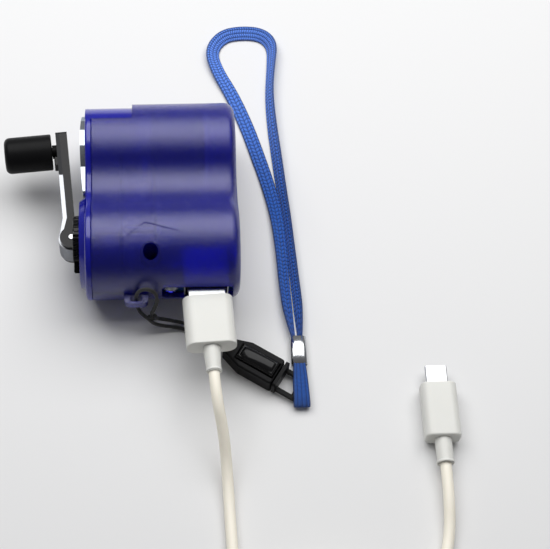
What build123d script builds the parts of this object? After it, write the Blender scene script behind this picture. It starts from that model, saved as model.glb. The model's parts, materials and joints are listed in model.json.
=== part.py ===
from build123d import *
import math
import os

# Hand crank phone charger, millimetres. +Z is up from the table, X runs along the crank shaft with the
# crank on the -X side, and +Y runs from the port end to the far end. The origin is on the flat under the
# near lobe's centre, at the middle of the case's width.

# ---- clearances ----
running_fit = 0.06  # radial, shaft in bore
close_gap = 0.1  # flat faces that slide or pass each other
free_gap = 0.3  # moving pieces that only pass near each other

# ---- case: two round lobes joined by a hollow waist ----
lobe_radius = 16.2
lobe_spacing = 36.0
waist_radius = 13.8
rest_flat = 0.2  # the lobes are cut flat this deep where they rest on the table
case_width = 47.0
case_wall = 1.6
case_end_round = 3.2
case_seam_round = 0.6
groove_depth = 0.35
groove_width = 0.7
chevron = [(-11.7, -3.6), (-6.3, 0.65), (3.8, -2.6)]  # X and Y of the moulded arrow mark's corners

# ---- side cover on the crank side ----
side_thickness = 1.9
side_edge_round = 0.9
cap_step = 1.2  # the stepped cap over the far lobe is this much smaller than the lobe
cap_wall = 1.8
cap_reach = 10.0  # X of the cap's inner end is minus this
cap_near = 4.0  # the cap starts this far past the far lobe's centre
cap_lip = 1.5
boss_margin = 1.0
boss_taper = 1.3
boss_height = 1.8
boss_recess = 1.3

# ---- crank ----
crank_y = 2.0  # the crank shaft sits a little past the near lobe's centre
hub_radius = 9.0
hub_thickness = 3.4
hub_neck_radius = 4.0
hub_neck_length = 5.5
hub_edge_round = 0.5
pin_out = 0.5  # hinge pin's centre line, outwards of the hub's face
pin_radius = 1.0
ear_thickness = 1.5
ear_radius = 3.7
arm_width = 7.6
knob_past_lobe = 1.5  # the folded knob lies this far past the far lobe's centre
arm_tail = 5.7  # past the knob's centre line
arm_inner = 1.6  # from the pin's centre line to the face that turns towards the case when folded
arm_frame_outer = 0.9
arm_cover_thickness = 1.3
knuckle_radius = 3.4
knuckle_skin = 0.7
arm_slope_end = 8.0
arm_tip_round = 1.2
arm_splay = 5.0  # degrees the unfolded arm leans outwards
catch_from_knob = 3.2
catch_length = 3.0
catch_width = 4.0
catch_height = 1.1
knob_radius = 6.0
knob_length = 15.6
knob_tip_round = 1.9
knob_root_round = 0.5
knob_neck_radius = 2.25
knob_neck_length = 1.6
spindle_radius = 1.5
spindle_head_radius = 2.6
spindle_head = 1.0
knob_cap_radius = 3.4
knob_cap_thickness = 1.0
knob_cap_cavity = 2.2
knob_retainer = 0.9

# ---- pocket in the far lobe that takes the folded knob ----
pocket_gap = 0.6
pocket_extra = 3.2  # the knob swings in on an arc, so the pocket is longer than it is wide
pocket_wall = 1.1
pocket_end_gap = 0.8

# ---- bowed trim plate ----
trim_near_gap = 0.6
trim_far_gap = 2.6
trim_half_width = 8.2
trim_round_gap = 2.4
trim_edge = 0.9
trim_bow = 0.8
trim_corner_round = 1.2
trim_hole_gap = 0.25

# ---- gears: drive gear, two compound gears, generator pinion ----
generator_short = 0.5  # the generator sits this far short of the far lobe's centre
pressure_angle = 25.0
tooth_addendum = 0.8  # in modules
tooth_dedendum = 1.05
tooth_backlash = 0.1
drive_teeth = 40
wheel_1_teeth = 30
wheel_2_teeth = 34
pinion_teeth = 10
drive_x = (-12.4, -10.0)
wheel_1_x = (-9.6, -7.8)
wheel_2_x = (-7.0, -5.2)
generator_pinion_x = (-7.4, -4.0)
shaft_radius = 2.5
shaft_start_x = -24.8
axle_radius = 0.8
gear_hub_radius = 1.75
drive_hub_radius = 4.5
drive_hub_end_x = -8.9
web_hole_circle = 7.2
web_hole_radius = 1.6

# ---- gear frame ----
plate_left_x = (-14.4, -13.2)
plate_right_x = (-3.8, -2.6)
plate_left_near_y = -11.0
plate_left_past_gear = 3.5
plate_right_near_y = -3.7
plate_right_past_lobe = 11.5
plate_gap = 0.4
bush_radius = 4.0
bush_overhang = 0.5
shaft_tip_radius = 2.0
shaft_tip_length = 0.7
clip_radius = 3.5
spacer_radius = 1.2
spacer_angles = (92.0, 46.5)  # round the near lobe's centre, from +Y, above and below
spacer_inset = 1.5  # from the case's inner wall
frame_screw_radius = 0.65
frame_screw_head_radius = 1.2
frame_screw_head = 0.9
frame_boss_radius = 1.4

# ---- generator ----
can_gap = 2.6
can_length = 16.0
can_wall = 1.0
can_boss_radius = 3.0
bell_thickness = 1.6
bell_boss_radius = 3.2
bell_boss_length = 1.6
magnet_thickness = 2.3
magnet_length = 11.0
magnet_angle = 130.0
air_gap = 1.1
core_length = 8.0
core_slot_width = 2.2
core_hub_radius = 3.0
rotor_shaft_radius = 1.0
winding_radius = 6.6
winding_overhang = 1.4
commutator_radius = 2.4
commutator_length = 2.4
generator_screw_radius = 0.9
generator_screw_offset = 8.0
generator_screw_head_radius = 1.7
generator_screw_head = 1.0

# ---- port window, circuit board and what sits on it ----
window_x = (-1.5, 21.2)
window_half_height = 3.6
window_round = 1.2
board_x = (-1.0, 21.5)
board_inset = 3.0
board_far_y = 11.0
board_below_axis = 3.7
board_thickness = 1.2
post_places = [(3.4, -4.6), (19.4, 0.8), (1.6, 8.6), (19.4, 8.6)]
post_radius = 1.9
board_screw_radius = 0.8
board_screw_head_radius = 1.5
board_screw_head = 0.9
board_screw_length = 5.0
socket_x = 12.6
socket_width = 14.0
socket_height = 6.3
socket_wall = 0.35
socket_inset = 0.9
socket_length = 13.8
socket_leg_width = 1.2
tongue_width = 10.2
tongue_thickness = 1.4
tongue_above_axis = 0.35
tongue_back = 2.4
led_x = 1.5
led_radius = 2.5
led_rim_radius = 2.8
led_rim_thickness = 1.0
led_length = 5.0
led_inset = 0.6
led_lead_radius = 0.25
led_lead_spacing = 2.54
led_lead_bend = 0.9
capacitor_radius = 3.0
capacitor_length = 7.0
capacitor_place = (12.4, 2.6)
inductor_size = (4.4, 4.4, 3.0)
inductor_place = (4.6, 6.0)
chip_size = (3.9, 4.6, 1.5)
chip_place = (4.9, 0.4)
diode_size = (1.6, 3.6, 1.4)
diode_places = [(-0.4, 1.6), (2.0, 1.6), (-0.4, -2.8), (2.0, -2.8)]
generator_wire_diameter = 1.1

# ---- case screw in the front ----
screw_place = (-4.8, -8.2)
screw_well_radius = 2.4
screw_well_wall = 1.0
screw_head_radius = 2.1
screw_head_height = 1.6
screw_head_rise = 3.0
screw_shank_radius = 1.2
screw_length = 13.0
screw_boss_radius = 3.2

# ---- cord lug ----
lug_x = (-13.4, -5.8)
lug_out = 3.2
lug_root = 1.0
lug_height = 3.0
lug_hole_x = (-11.6, -7.6)
lug_rim = 0.7
lug_hole_length = 2.1

# ---- wrist cord, buckle and strap ----
string_diameter = 1.2
string_upper = [
    (-9.6, -17.6, 14.5), (-9.6, -17.6, 18.1), (-8.3, -17.5, 21.4), (-5.6, -17.7, 22.4), (-3.4, -18.1, 20.3),
    (-2.9, -18.9, 16.4), (-3.9, -19.6, 12.4), (-5.0, -19.9, 8.9), (-3.3, -19.7, 5.7), (0.6, -19.2, 3.2),
    (5.6, -19.6, 1.7), (10.4, -21.9, 1.7), (14.6, -25.6, 2.1), (17.2, -27.36, 2.8), (19.0, -28.53, 2.8),
]
string_lower = [
    (-9.6, -17.6, 14.5), (-9.6, -17.6, 11.6), (-8.4, -19.4, 9.2), (-5.6, -21.2, 7.9), (-4.0, -21.4, 4.9),
    (0.2, -21.1, 2.4), (5.0, -21.2, 1.2), (9.6, -23.3, 1.1), (13.2, -26.4, 1.9), (16.52, -28.48, 2.8),
    (18.28, -29.62, 2.8),
]
bead_size = (2.6, 3.8, 3.2)
bead_place = (-4.7, -20.6, 7.6)
buckle_place = (35.0, -39.7, 0.0)
buckle_turn = -33.0
buckle_length = 19.1
buckle_gap = 0.4
buckle_half_width = 4.8
buckle_nose_half_width = 2.4
buckle_shoulder = 12.0
buckle_height = 6.0
buckle_edge_round = 0.6
tongue_slot_half_width = 3.4
tongue_slot_z = (0.9, 3.0)
tongue_slot_depth = 12.6
latch_x = (-14.6, -1.2)
latch_half_width = 2.7
latch_z = (4.9, 7.2)
latch_well_z = 3.7
latch_pivot_x = -13.2
latch_pivot_z = 5.3
latch_pivot_radius = 0.6
latch_pivot_half = 3.6
latch_well_gap = 0.3
latch_dish_radius = 17.5
latch_dish_depth = 0.6
latch_dish_width = 3.4
strap_half_flange = 1.1
strap_half_flange_width = 4.9
strap_half_tongue = 11.4
strap_half_tongue_gap = 0.3
eye_arm_z = (0.95, 2.65)
eye_arm_width = 1.2
eye_half_width = 4.2
eye_bar_x = 7.0
eye_bar_radius = 0.8
strap_width = 4.6
strap_thickness = 0.7
strap_loop_z = (0.4, 3.1)  # centre heights of the loop's two layers
strap_loop_x = 41.9
strap_loop_far_y = -48.0
crimp_y = (-35.2, -25.4)
crimp_wall = 0.35
crimp_z = (0.05, 3.0)
strap_route = [
    (41.9, -30.2), (41.8, -18.5), (41.0, -6.0), (39.6, 6.0), (38.0, 19.0), (35.7, 31.0), (32.6, 43.2),
    (29.3, 55.5), (24.8, 68.5), (19.8, 79.0), (18.2, 87.0), (22.4, 92.6), (29.0, 93.6), (36.2, 93.2),
    (39.8, 88.6), (38.9, 80.0), (37.6, 69.0), (37.8, 56.5), (38.8, 43.0), (39.7, 30.5), (40.7, 18.5),
    (41.3, 6.0), (41.6, -6.5), (41.9, -18.0), (41.9, -30.2),
]
strap_stand_from = 9  # from this point of the route to the next value the strap stands on its edge
strap_stand_to = 15

# ---- USB cable ----
plug_yaw = 3.0  # degrees the half inserted plug leans in its socket
plug_offset = 0.2
plug_out = 3.2  # front face of the grip, out from the socket's mouth
plug_shell_size = (12.0, 4.5)
plug_shell_length = 11.8
plug_shell_wall = 0.3
plug_insert_height = 1.9
grip_size = (15.8, 8.0)
grip_round = 3.5
grip_length = 16.7
grip_edge_round = 0.4
relief_length = 8.4
relief_root_radius = 2.8
relief_tip_radius = 2.25
cable_diameter = 3.5
cable_first_run = 8.0
cable_floor_z = 1.8
cable_near_route = [
    (16.6, -61.0, 9.8), (17.4, -70.2, 4.0), (17.7, -80.5, 1.8), (18.1, -95.0, 1.8), (18.9, -112.0, 1.8),
]
coil_centre = (45.1, -129.0)
coil_outer_radius = 26.2
coil_pitch = 4.0
coil_layer_rise = 4.0
coil_climb_dip = 1.0
coil_turns_per_layer = 3
coil_end_straight = 4.0
cable_far_route = [
    (71.3, -117.0, 5.8), (75.5, -108.0, 2.8), (81.5, -101.0, 1.8), (84.0, -91.0, 1.9), (84.6, -80.0, 3.9),
]
micro_x = 84.6
micro_z = 3.9
micro_grip_size = (11.2, 7.6)
micro_grip_round = 2.6
micro_grip_y = (-62.2, -44.2)
micro_relief_length = 8.0
micro_relief_radii = (2.7, 2.5)
micro_tip_size = (6.85, 1.85)
micro_tip_length = 6.4
micro_tip_wall = 0.25

# ---- worked out from the above ----
case_half = case_width / 2
axis_height = lobe_radius - rest_flat
cap_radius = lobe_radius - cap_step
cap_near_y = lobe_spacing + cap_near
boss_radius = lobe_radius - boss_margin
boss_face_radius = boss_radius - boss_taper
arm_length = lobe_spacing + knob_past_lobe - crank_y  # hinge pin to knob
trim_round_radius = cap_radius - trim_round_gap
board_y = (-lobe_radius + board_inset, board_far_y)
board_top = axis_height - board_below_axis
socket_mouth_y = -lobe_radius + socket_inset
led_front_y = -lobe_radius + led_inset
screw_head_z = axis_height + screw_head_rise
lug_out_y = -lobe_radius - lug_out
lug_root_y = -lobe_radius + lug_root
lug_z = (axis_height - lug_height, axis_height)
lug_hole_y = (lug_out_y + lug_rim, lug_out_y + lug_rim + lug_hole_length)
plug_pivot_y = socket_mouth_y - plug_out
side_face_x = -case_half - side_thickness
boss_face_x = side_face_x - boss_height
recess_x = boss_face_x + boss_recess
hub_back_x = recess_x - close_gap
hub_face_x = hub_back_x - hub_thickness
pin_x = hub_face_x - pin_out
ear_inner_z = arm_width / 2 + close_gap
pocket_y = crank_y + arm_length
pocket_radius = knob_radius + pocket_gap
knob_root_out = arm_frame_outer + arm_cover_thickness + knob_neck_length
knob_tip_out = knob_root_out + knob_length
pocket_end_x = pin_x + knob_tip_out + pocket_end_gap
wheels = (drive_teeth, wheel_1_teeth, wheel_2_teeth)
train_teeth = sum(teeth + pinion_teeth for teeth in wheels) / 2
gear_module = (lobe_spacing - generator_short - crank_y) / train_teeth
axis_ys = [crank_y]
for teeth in wheels:
    axis_ys.append(axis_ys[-1] + gear_module * (teeth + pinion_teeth) / 2)
generator_y = axis_ys[3]
plate_left_far_y = axis_ys[2] + plate_left_past_gear
plate_right_far_y = lobe_spacing + plate_right_past_lobe
spacer_reach = lobe_radius - case_wall - spacer_inset
spacer_places = []  # Y and height off the shaft line
for angle in spacer_angles:
    for side in (-1, 1):
        y = spacer_reach * math.cos(math.radians(angle)) - crank_y
        spacer_places.append((y, side * spacer_reach * math.sin(math.radians(angle))))
can_radius = lobe_radius - case_wall - can_gap
core_radius = can_radius - can_wall - magnet_thickness - air_gap
can_x = (plate_right_x[1], plate_right_x[1] + can_length)
plug_axis = Vector(math.sin(math.radians(plug_yaw)), -math.cos(math.radians(plug_yaw)), 0)
plug_x = socket_x + plug_offset
cable_radius = cable_diameter / 2


def save(shape, node):
    export_step(shape, f"parts/{node}.step")


def block(x, y, z):
    size = [high - low for low, high in (x, y, z)]
    middle = [(low + high) / 2 for low, high in (x, y, z)]
    return Pos(*middle) * Box(*size)


def rod_x(radius, x, y, z=axis_height):
    return Pos((x[0] + x[1]) / 2, y, z) * Rot(0, 90, 0) * Cylinder(radius, x[1] - x[0])


def rod_y(radius, y, x, z):
    return Pos(x, (y[0] + y[1]) / 2, z) * Rot(90, 0, 0) * Cylinder(radius, y[1] - y[0])


def rod_z(radius, z, x, y):
    return Pos(x, y, (z[0] + z[1]) / 2) * Cylinder(radius, z[1] - z[0])


def tapered_x(radii, x, y, z=axis_height):
    return Pos((x[0] + x[1]) / 2, y, z) * Rot(0, 90, 0) * Cone(radii[0], radii[1], x[1] - x[0])


def case_profile(inset):
    """The case's closed outline in the YZ plane, moved inwards by inset."""
    reach = lobe_radius + waist_radius
    half = lobe_spacing / 2
    rise = math.sqrt(reach**2 - half**2)
    out_y = (lobe_radius - inset) * half / reach
    out_z = (lobe_radius - inset) * rise / reach
    waist_z = rise - waist_radius - inset
    tip = lobe_radius - inset

    def at(y, z):
        return Vector(0, y, axis_height + z)

    near_top = at(out_y, out_z)
    near_low = at(out_y, -out_z)
    far_top = at(lobe_spacing - out_y, out_z)
    far_low = at(lobe_spacing - out_y, -out_z)
    edges = [
        ThreePointArc(near_top, at(-tip, 0), near_low),
        ThreePointArc(near_low, at(half, -waist_z), far_low),
        ThreePointArc(far_low, at(lobe_spacing + tip, 0), far_top),
        ThreePointArc(far_top, at(half, waist_z), near_top),
    ]
    return Face(Wire(edges))


def prism(face, x):
    return Pos(x[0], 0, 0) * extrude(face, amount=x[1] - x[0], dir=(1, 0, 0))


def pocket_slot(radius, x):
    far_y = pocket_y + pocket_extra
    ends = rod_x(radius, x, pocket_y) + rod_x(radius, x, far_y)
    return ends + block(x, (pocket_y, far_y), (axis_height - radius, axis_height + radius))


def tube(points, radius, name):
    """A round cord along straight runs joined by arcs as large as the runs allow."""
    spots = [Vector(*p) for p in points]
    radii = []
    for before, here, after in zip(spots, spots[1:], spots[2:]):
        turn = (here - before).get_angle(after - here)
        run = min((here - before).length, (after - here).length)
        radii.append(0.45 * run / math.tan(math.radians(turn / 2)))
    path = FilletPolyline(*spots, radius=radii)
    section = Plane(origin=path @ 0, z_dir=path % 0) * Circle(radius)
    solid = sweep(section, path=path)
    share = solid.volume / (math.pi * radius**2 * path.length)
    print(name, "length", round(path.length, 1), "volume share", round(share, 4))
    print("  radii", [round(r, 1) for r in radii])
    return solid


# ---- case ----
def case_outside():
    body = prism(case_profile(0), (-case_half, case_half))
    body = fillet(body.edges().group_by(Axis.X)[-1], case_end_round)
    return fillet(body.edges().group_by(Axis.X)[0], case_seam_round)


def case_shell():
    inside = prism(case_profile(case_wall), (-case_half - 1, case_half - case_wall))
    floor_cut = block((-case_half, case_half), (-lobe_radius, lobe_spacing + lobe_radius), (-1, 0))
    far = lobe_spacing + lobe_radius + 1
    cap_cut = block((-case_half - 1, -cap_reach), (cap_near_y, far), (-1, 2 * lobe_radius + 1))
    window = block(window_x, (-lobe_radius - 1, -case_wall), (-window_half_height, window_half_height))
    window = Pos(0, 0, axis_height) * fillet(window.edges().filter_by(Axis.Y), window_round)
    return case_outside() - inside - floor_cut - cap_cut - window


def half_space(top):
    z = (axis_height, 3 * axis_height) if top else (-axis_height, axis_height)
    return block((-case_width, case_width), (-2 * lobe_radius, lobe_spacing + 2 * lobe_radius), z)


def chevron_groove():
    """A shallow mark that follows the curved front."""
    mark = None
    for start, end in zip(chevron, chevron[1:]):
        length = math.dist(start, end)
        turn = math.degrees(math.atan2(end[1] - start[1], end[0] - start[0]))
        bar = Box(length, groove_width, lobe_radius) + Pos(length / 2, 0, 0) * Cylinder(
            groove_width / 2, lobe_radius
        )
        bar = bar + Pos(-length / 2, 0, 0) * Cylinder(groove_width / 2, lobe_radius)
        middle = ((start[0] + end[0]) / 2, (start[1] + end[1]) / 2, axis_height + lobe_radius)
        bar = Pos(*middle) * Rot(0, 0, turn) * bar
        mark = bar if mark is None else mark + bar
    return mark - prism(case_profile(groove_depth), (-case_half, case_half))


def front_shell():
    x, y = screw_place
    inside = prism(case_profile(case_wall / 2), (-case_half, case_half))
    boss = rod_z(screw_well_radius + screw_well_wall, (axis_height, 2 * lobe_radius), x, y) & inside
    shell = (case_shell() & half_space(True)) + boss
    shell -= rod_z(screw_well_radius, (screw_head_z, 2 * axis_height + 1), x, y)
    shell -= rod_z(screw_shank_radius + close_gap, (axis_height - 1, screw_head_z + 1), x, y)
    return shell - chevron_groove()


def lug():
    body = block(lug_x, (lug_out_y, lug_root_y), lug_z)
    corners = body.edges().filter_by(Axis.Z).group_by(Axis.Y)[0]
    body = fillet(corners, 1.6)
    hole = block(lug_hole_x, lug_hole_y, (lug_z[0] - 1, lug_z[1] + 1))
    hole = fillet(hole.edges().filter_by(Axis.Z), 0.9)
    return body - hole


def back_shell():
    x, y = screw_place
    inside = prism(case_profile(case_wall / 2), (-case_half, case_half))
    boss = rod_z(screw_boss_radius, (0.5, axis_height), x, y)
    for post_x, post_y in post_places:
        boss += rod_z(post_radius, (0.5, board_top - board_thickness), post_x, post_y)
    shell = (case_shell() & half_space(False)) + (boss & inside)
    shell -= rod_z(screw_shank_radius, (screw_head_z - screw_length, axis_height + 1), x, y)
    for post_x, post_y in post_places:
        z = (board_top - board_screw_length, board_top)
        shell -= rod_z(board_screw_radius, z, post_x, post_y)
    inner = prism(case_profile(case_wall - 0.1), (-case_half, case_half))
    return shell + (lug() - inner)


def case_screw():
    x, y = screw_place
    head = rod_z(screw_head_radius, (screw_head_z, screw_head_z + screw_head_height), x, y)
    head = fillet(head.edges().group_by(Axis.Z)[-1], 0.5)
    shank = rod_z(screw_shank_radius, (screw_head_z - screw_length, screw_head_z), x, y)
    cross = Box(2.4, 0.5, 1.6) + Box(0.5, 2.4, 1.6)
    return head + shank - Pos(x, y, screw_head_z + screw_head_height) * cross


# ---- side cover ----
def far_cap():
    """The stepped cap that wraps over the far lobe, with a lip inside the shells."""
    far = lobe_spacing + lobe_radius
    z = (0, 2 * axis_height)
    lip_radius = lobe_radius - case_wall - close_gap
    ring = rod_x(cap_radius, (side_face_x, -cap_reach - close_gap), lobe_spacing)
    ring &= block((side_face_x, 0), (cap_near_y + close_gap, far), z)
    lip = rod_x(lip_radius, (-case_half, -cap_reach + cap_lip), lobe_spacing)
    lip &= block((-case_half, 0), (cap_near_y - cap_lip, far), z)
    hollow = rod_x(cap_radius - cap_wall, (-case_half, 0), lobe_spacing)
    return ring + lip - hollow


def side_cover():
    far = lobe_spacing + lobe_radius
    plate = prism(case_profile(0), (side_face_x, -case_half))
    plate = fillet(plate.edges().group_by(Axis.X)[0], side_edge_round)
    plate -= block((side_face_x - 1, 0), (-lobe_radius, far), (-1, 0))
    step = block((side_face_x - 1, 0), (cap_near_y, far + 1), (-1, 2 * lobe_radius + 1))
    plate -= step - rod_x(cap_radius, (side_face_x - 1, 0), lobe_spacing)
    boss = tapered_x((boss_face_radius, boss_radius), (boss_face_x, side_face_x), crank_y)
    pocket = pocket_slot(pocket_radius + pocket_wall, (side_face_x, pocket_end_x + pocket_wall))
    cover = plate + boss + far_cap() + pocket
    for offset_y, offset_z in spacer_places:
        x = (-case_half, plate_left_x[0])
        cover += rod_x(frame_boss_radius, x, offset_y + crank_y, axis_height + offset_z)
    cover -= pocket_slot(pocket_radius, (side_face_x - 1, pocket_end_x))
    cover -= rod_x(hub_radius + free_gap, (boss_face_x - 1, recess_x), crank_y)
    cover -= rod_x(hub_neck_radius + running_fit, (boss_face_x, -case_half + 1), crank_y)
    for offset_y, offset_z in spacer_places:
        x = (-case_half + 1, plate_left_x[0] + 1)
        cover -= rod_x(frame_screw_radius, x, offset_y + crank_y, axis_height + offset_z)
    return cover


def trim_plate():
    """A bowed bright plate on the side cover, from the boss to the far end, round the knob pocket."""
    near_y = crank_y + boss_radius + trim_near_gap
    far_y = lobe_spacing + cap_radius - trim_far_gap
    round_y = far_y - trim_round_radius
    x = (side_face_x - trim_edge - trim_bow, side_face_x)
    z = (axis_height - trim_half_width, axis_height + trim_half_width)
    body = rod_x(trim_round_radius, x, round_y) + block(x, (crank_y, round_y), z)
    body -= rod_x(boss_radius + trim_near_gap, (x[0] - 1, x[1] + 1), crank_y)
    body = fillet(body.edges().filter_by(Axis.X).group_by(Axis.Y)[0], trim_corner_round)
    half_length = (far_y - near_y) / 2
    bow_radius = (half_length**2 + trim_bow**2) / (2 * trim_bow)
    bow = rod_z(bow_radius, (0, 2 * axis_height), x[0] + bow_radius, (near_y + far_y) / 2)
    return (body & bow) - pocket_slot(pocket_radius + trim_hole_gap, (x[0] - 1, x[1] + 1))


# ---- crank ----
def ear(z):
    edge = rod_z(ear_radius, z, pin_x, crank_y)
    return edge + block((pin_x, hub_face_x + 1), (crank_y - ear_radius, crank_y + ear_radius), z)


def folded_arm_room():
    """Room in the hub's slot for the arm's thick root when the arm is folded over."""
    near = knuckle_radius + knuckle_skin + close_gap
    far = arm_frame_outer + arm_cover_thickness + free_gap
    corners = [(0, 0), (0, -arm_slope_end), (far, -arm_slope_end), (near, 0)]
    outline = [(pin_x + out, crank_y + along, axis_height - ear_inner_z) for out, along in corners]
    return extrude(Face(Wire(Polyline(*outline, close=True))), amount=2 * ear_inner_z, dir=(0, 0, 1))


def crank_hub():
    disc = rod_x(hub_radius, (hub_face_x, hub_back_x), crank_y)
    disc = fillet(disc.edges().group_by(Axis.X)[0], hub_edge_round)
    hub = disc + rod_x(hub_neck_radius, (hub_back_x, hub_back_x + hub_neck_length), crank_y)
    for side in (-1, 1):
        z = sorted(axis_height + side * edge for edge in (ear_inner_z, ear_inner_z + ear_thickness))
        hub += ear(z)
    slot_z = (axis_height - ear_inner_z, axis_height + ear_inner_z)
    slot_floor = pin_x + arm_frame_outer + arm_cover_thickness + free_gap
    slot_y = (crank_y - hub_radius - 1, crank_y + hub_radius + 1)
    hub -= block((pin_x - 2 * ear_radius, slot_floor), slot_y, slot_z)
    hub -= rod_z(knuckle_radius + knuckle_skin + close_gap, slot_z, pin_x, crank_y)
    hub -= folded_arm_room()
    hub -= rod_x(shaft_radius, (shaft_start_x, hub_back_x + hub_neck_length + 1), crank_y)
    return hub - rod_z(pin_radius, (0, 2 * axis_height), pin_x, crank_y)


def hinge_pin():
    half = ear_inner_z + ear_thickness + 0.2
    pin = rod_z(pin_radius, (axis_height - half, axis_height + half), pin_x, crank_y)
    return fillet(pin.edges().group_by(Axis.Z)[-1], 0.25)


def crank_shaft():
    tip_x = plate_right_x[1] + bush_overhang + close_gap
    shaft = rod_x(shaft_radius, (shaft_start_x, tip_x), crank_y)
    return shaft + rod_x(shaft_tip_radius, (tip_x, tip_x + shaft_tip_length), crank_y)


def shaft_clip():
    tip_x = plate_right_x[1] + bush_overhang + close_gap
    x = (tip_x, tip_x + shaft_tip_length)
    ring = rod_x(clip_radius, x, crank_y) - rod_x(shaft_tip_radius, x, crank_y)
    return ring - block(x, (crank_y - 0.8, crank_y + 0.8), (axis_height, axis_height + clip_radius))


def shaft_bushes():
    bushes = []
    for plate_x in (plate_left_x, plate_right_x):
        x = (plate_x[0] - bush_overhang, plate_x[1] + bush_overhang)
        bush = rod_x(bush_radius, x, crank_y)
        bushes.append(bush - rod_x(shaft_radius + running_fit, x, crank_y))
    return Compound(bushes)


def on_arm(shape):
    """From the arm's own frame, +Y along the arm and -X outwards, to its place on the hinge pin."""
    return Pos(pin_x, crank_y, axis_height) * Rot(0, 0, arm_splay) * shape


def arm_slice(points):
    """A flat outline through (distance along the arm, distance outwards), as thick as the arm is wide."""
    face = Face(Wire(Polyline(*[(-out, along, 0) for along, out in points], close=True)))
    return Pos(0, 0, -arm_width / 2) * extrude(face, amount=arm_width, dir=(0, 0, 1))


def arm_blank(outer, radius):
    end = arm_length + arm_tail
    outline = [(0, -arm_inner), (end, -arm_inner), (end, outer), (arm_slope_end, outer), (0, radius)]
    blank = arm_slice(outline) + Cylinder(radius, arm_width)
    return blank & round_ended_strip()


def round_ended_strip():
    """Rounds the arm's far end, seen from outside."""
    depth = 6 * knuckle_radius
    strip = Box(depth, 2 * (arm_length + arm_tail), arm_width)
    ends = strip.edges().filter_by(Axis.X).group_by(Axis.Y)[-1]
    return fillet(ends, arm_tip_round)


def arm_frame():
    frame = arm_blank(arm_frame_outer, knuckle_radius)
    frame -= Cylinder(pin_radius + running_fit, arm_width + 1)
    outer = arm_frame_outer + arm_cover_thickness
    catch_far = arm_length - catch_from_knob
    catch = block(
        (-outer - catch_height, -arm_frame_outer + 0.5),
        (catch_far - catch_length, catch_far),
        (-catch_width / 2, catch_width / 2),
    )
    frame += fillet(catch.edges().group_by(Axis.X)[0], 0.35)
    groove = block((arm_inner - 0.7, arm_inner + 1), (2 * knuckle_radius, arm_length - 5), (-2.2, 2.2))
    frame -= fillet(groove.edges().filter_by(Axis.X), 0.8)
    frame -= rod_x(spindle_radius, (-2 * arm_inner, 2 * arm_inner), arm_length, 0)
    frame -= rod_x(spindle_head_radius, (arm_inner - spindle_head, arm_inner + 1), arm_length, 0)
    return on_arm(frame)


def arm_cover():
    skin = arm_blank(arm_frame_outer + arm_cover_thickness, knuckle_radius + knuckle_skin)
    skin -= arm_blank(arm_frame_outer, knuckle_radius)
    reach = 2 * (arm_length + arm_tail)
    skin -= block((-arm_frame_outer, 3 * knuckle_radius), (0, reach), (-arm_width, arm_width))
    skin -= block((2.4, 3 * knuckle_radius), (-reach, reach), (-arm_width, arm_width))
    catch_far = arm_length - catch_from_knob
    skin -= block((-reach, 0), (catch_far - catch_length, catch_far), (-catch_width / 2, catch_width / 2))
    return on_arm(skin - rod_x(spindle_radius, (-knob_length, 0), arm_length, 0))


def knob_spindle():
    outer = arm_frame_outer + arm_cover_thickness
    end = knob_tip_out - knob_cap_cavity
    spindle = rod_x(spindle_radius, (-end, arm_inner - spindle_head), arm_length, 0)
    spindle += rod_x(spindle_head_radius, (arm_inner - spindle_head, arm_inner - 0.1), arm_length, 0)
    spindle += rod_x(knob_neck_radius, (-outer - knob_neck_length + close_gap, -outer), arm_length, 0)
    retainer = (-end - knob_retainer, -end)
    return on_arm(spindle + rod_x(spindle_head_radius, retainer, arm_length, 0))


def knob():
    body = rod_x(knob_radius, (-knob_tip_out, -knob_root_out), arm_length, 0)
    body = fillet(body.edges().group_by(Axis.X)[0], knob_tip_round)
    body = fillet(body.edges().group_by(Axis.X)[-1], knob_root_round)
    body -= rod_x(spindle_radius + running_fit, (-knob_tip_out, 0), arm_length, 0)
    cavity = knob_cap_cavity + close_gap
    return on_arm(body - rod_x(knob_cap_radius, (-knob_tip_out - 1, -knob_tip_out + cavity), arm_length, 0))


def knob_cap():
    x = (-knob_tip_out, -knob_tip_out + knob_cap_thickness)
    return on_arm(fillet(rod_x(knob_cap_radius, x, arm_length, 0).edges().group_by(Axis.X)[0], 0.3))


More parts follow.
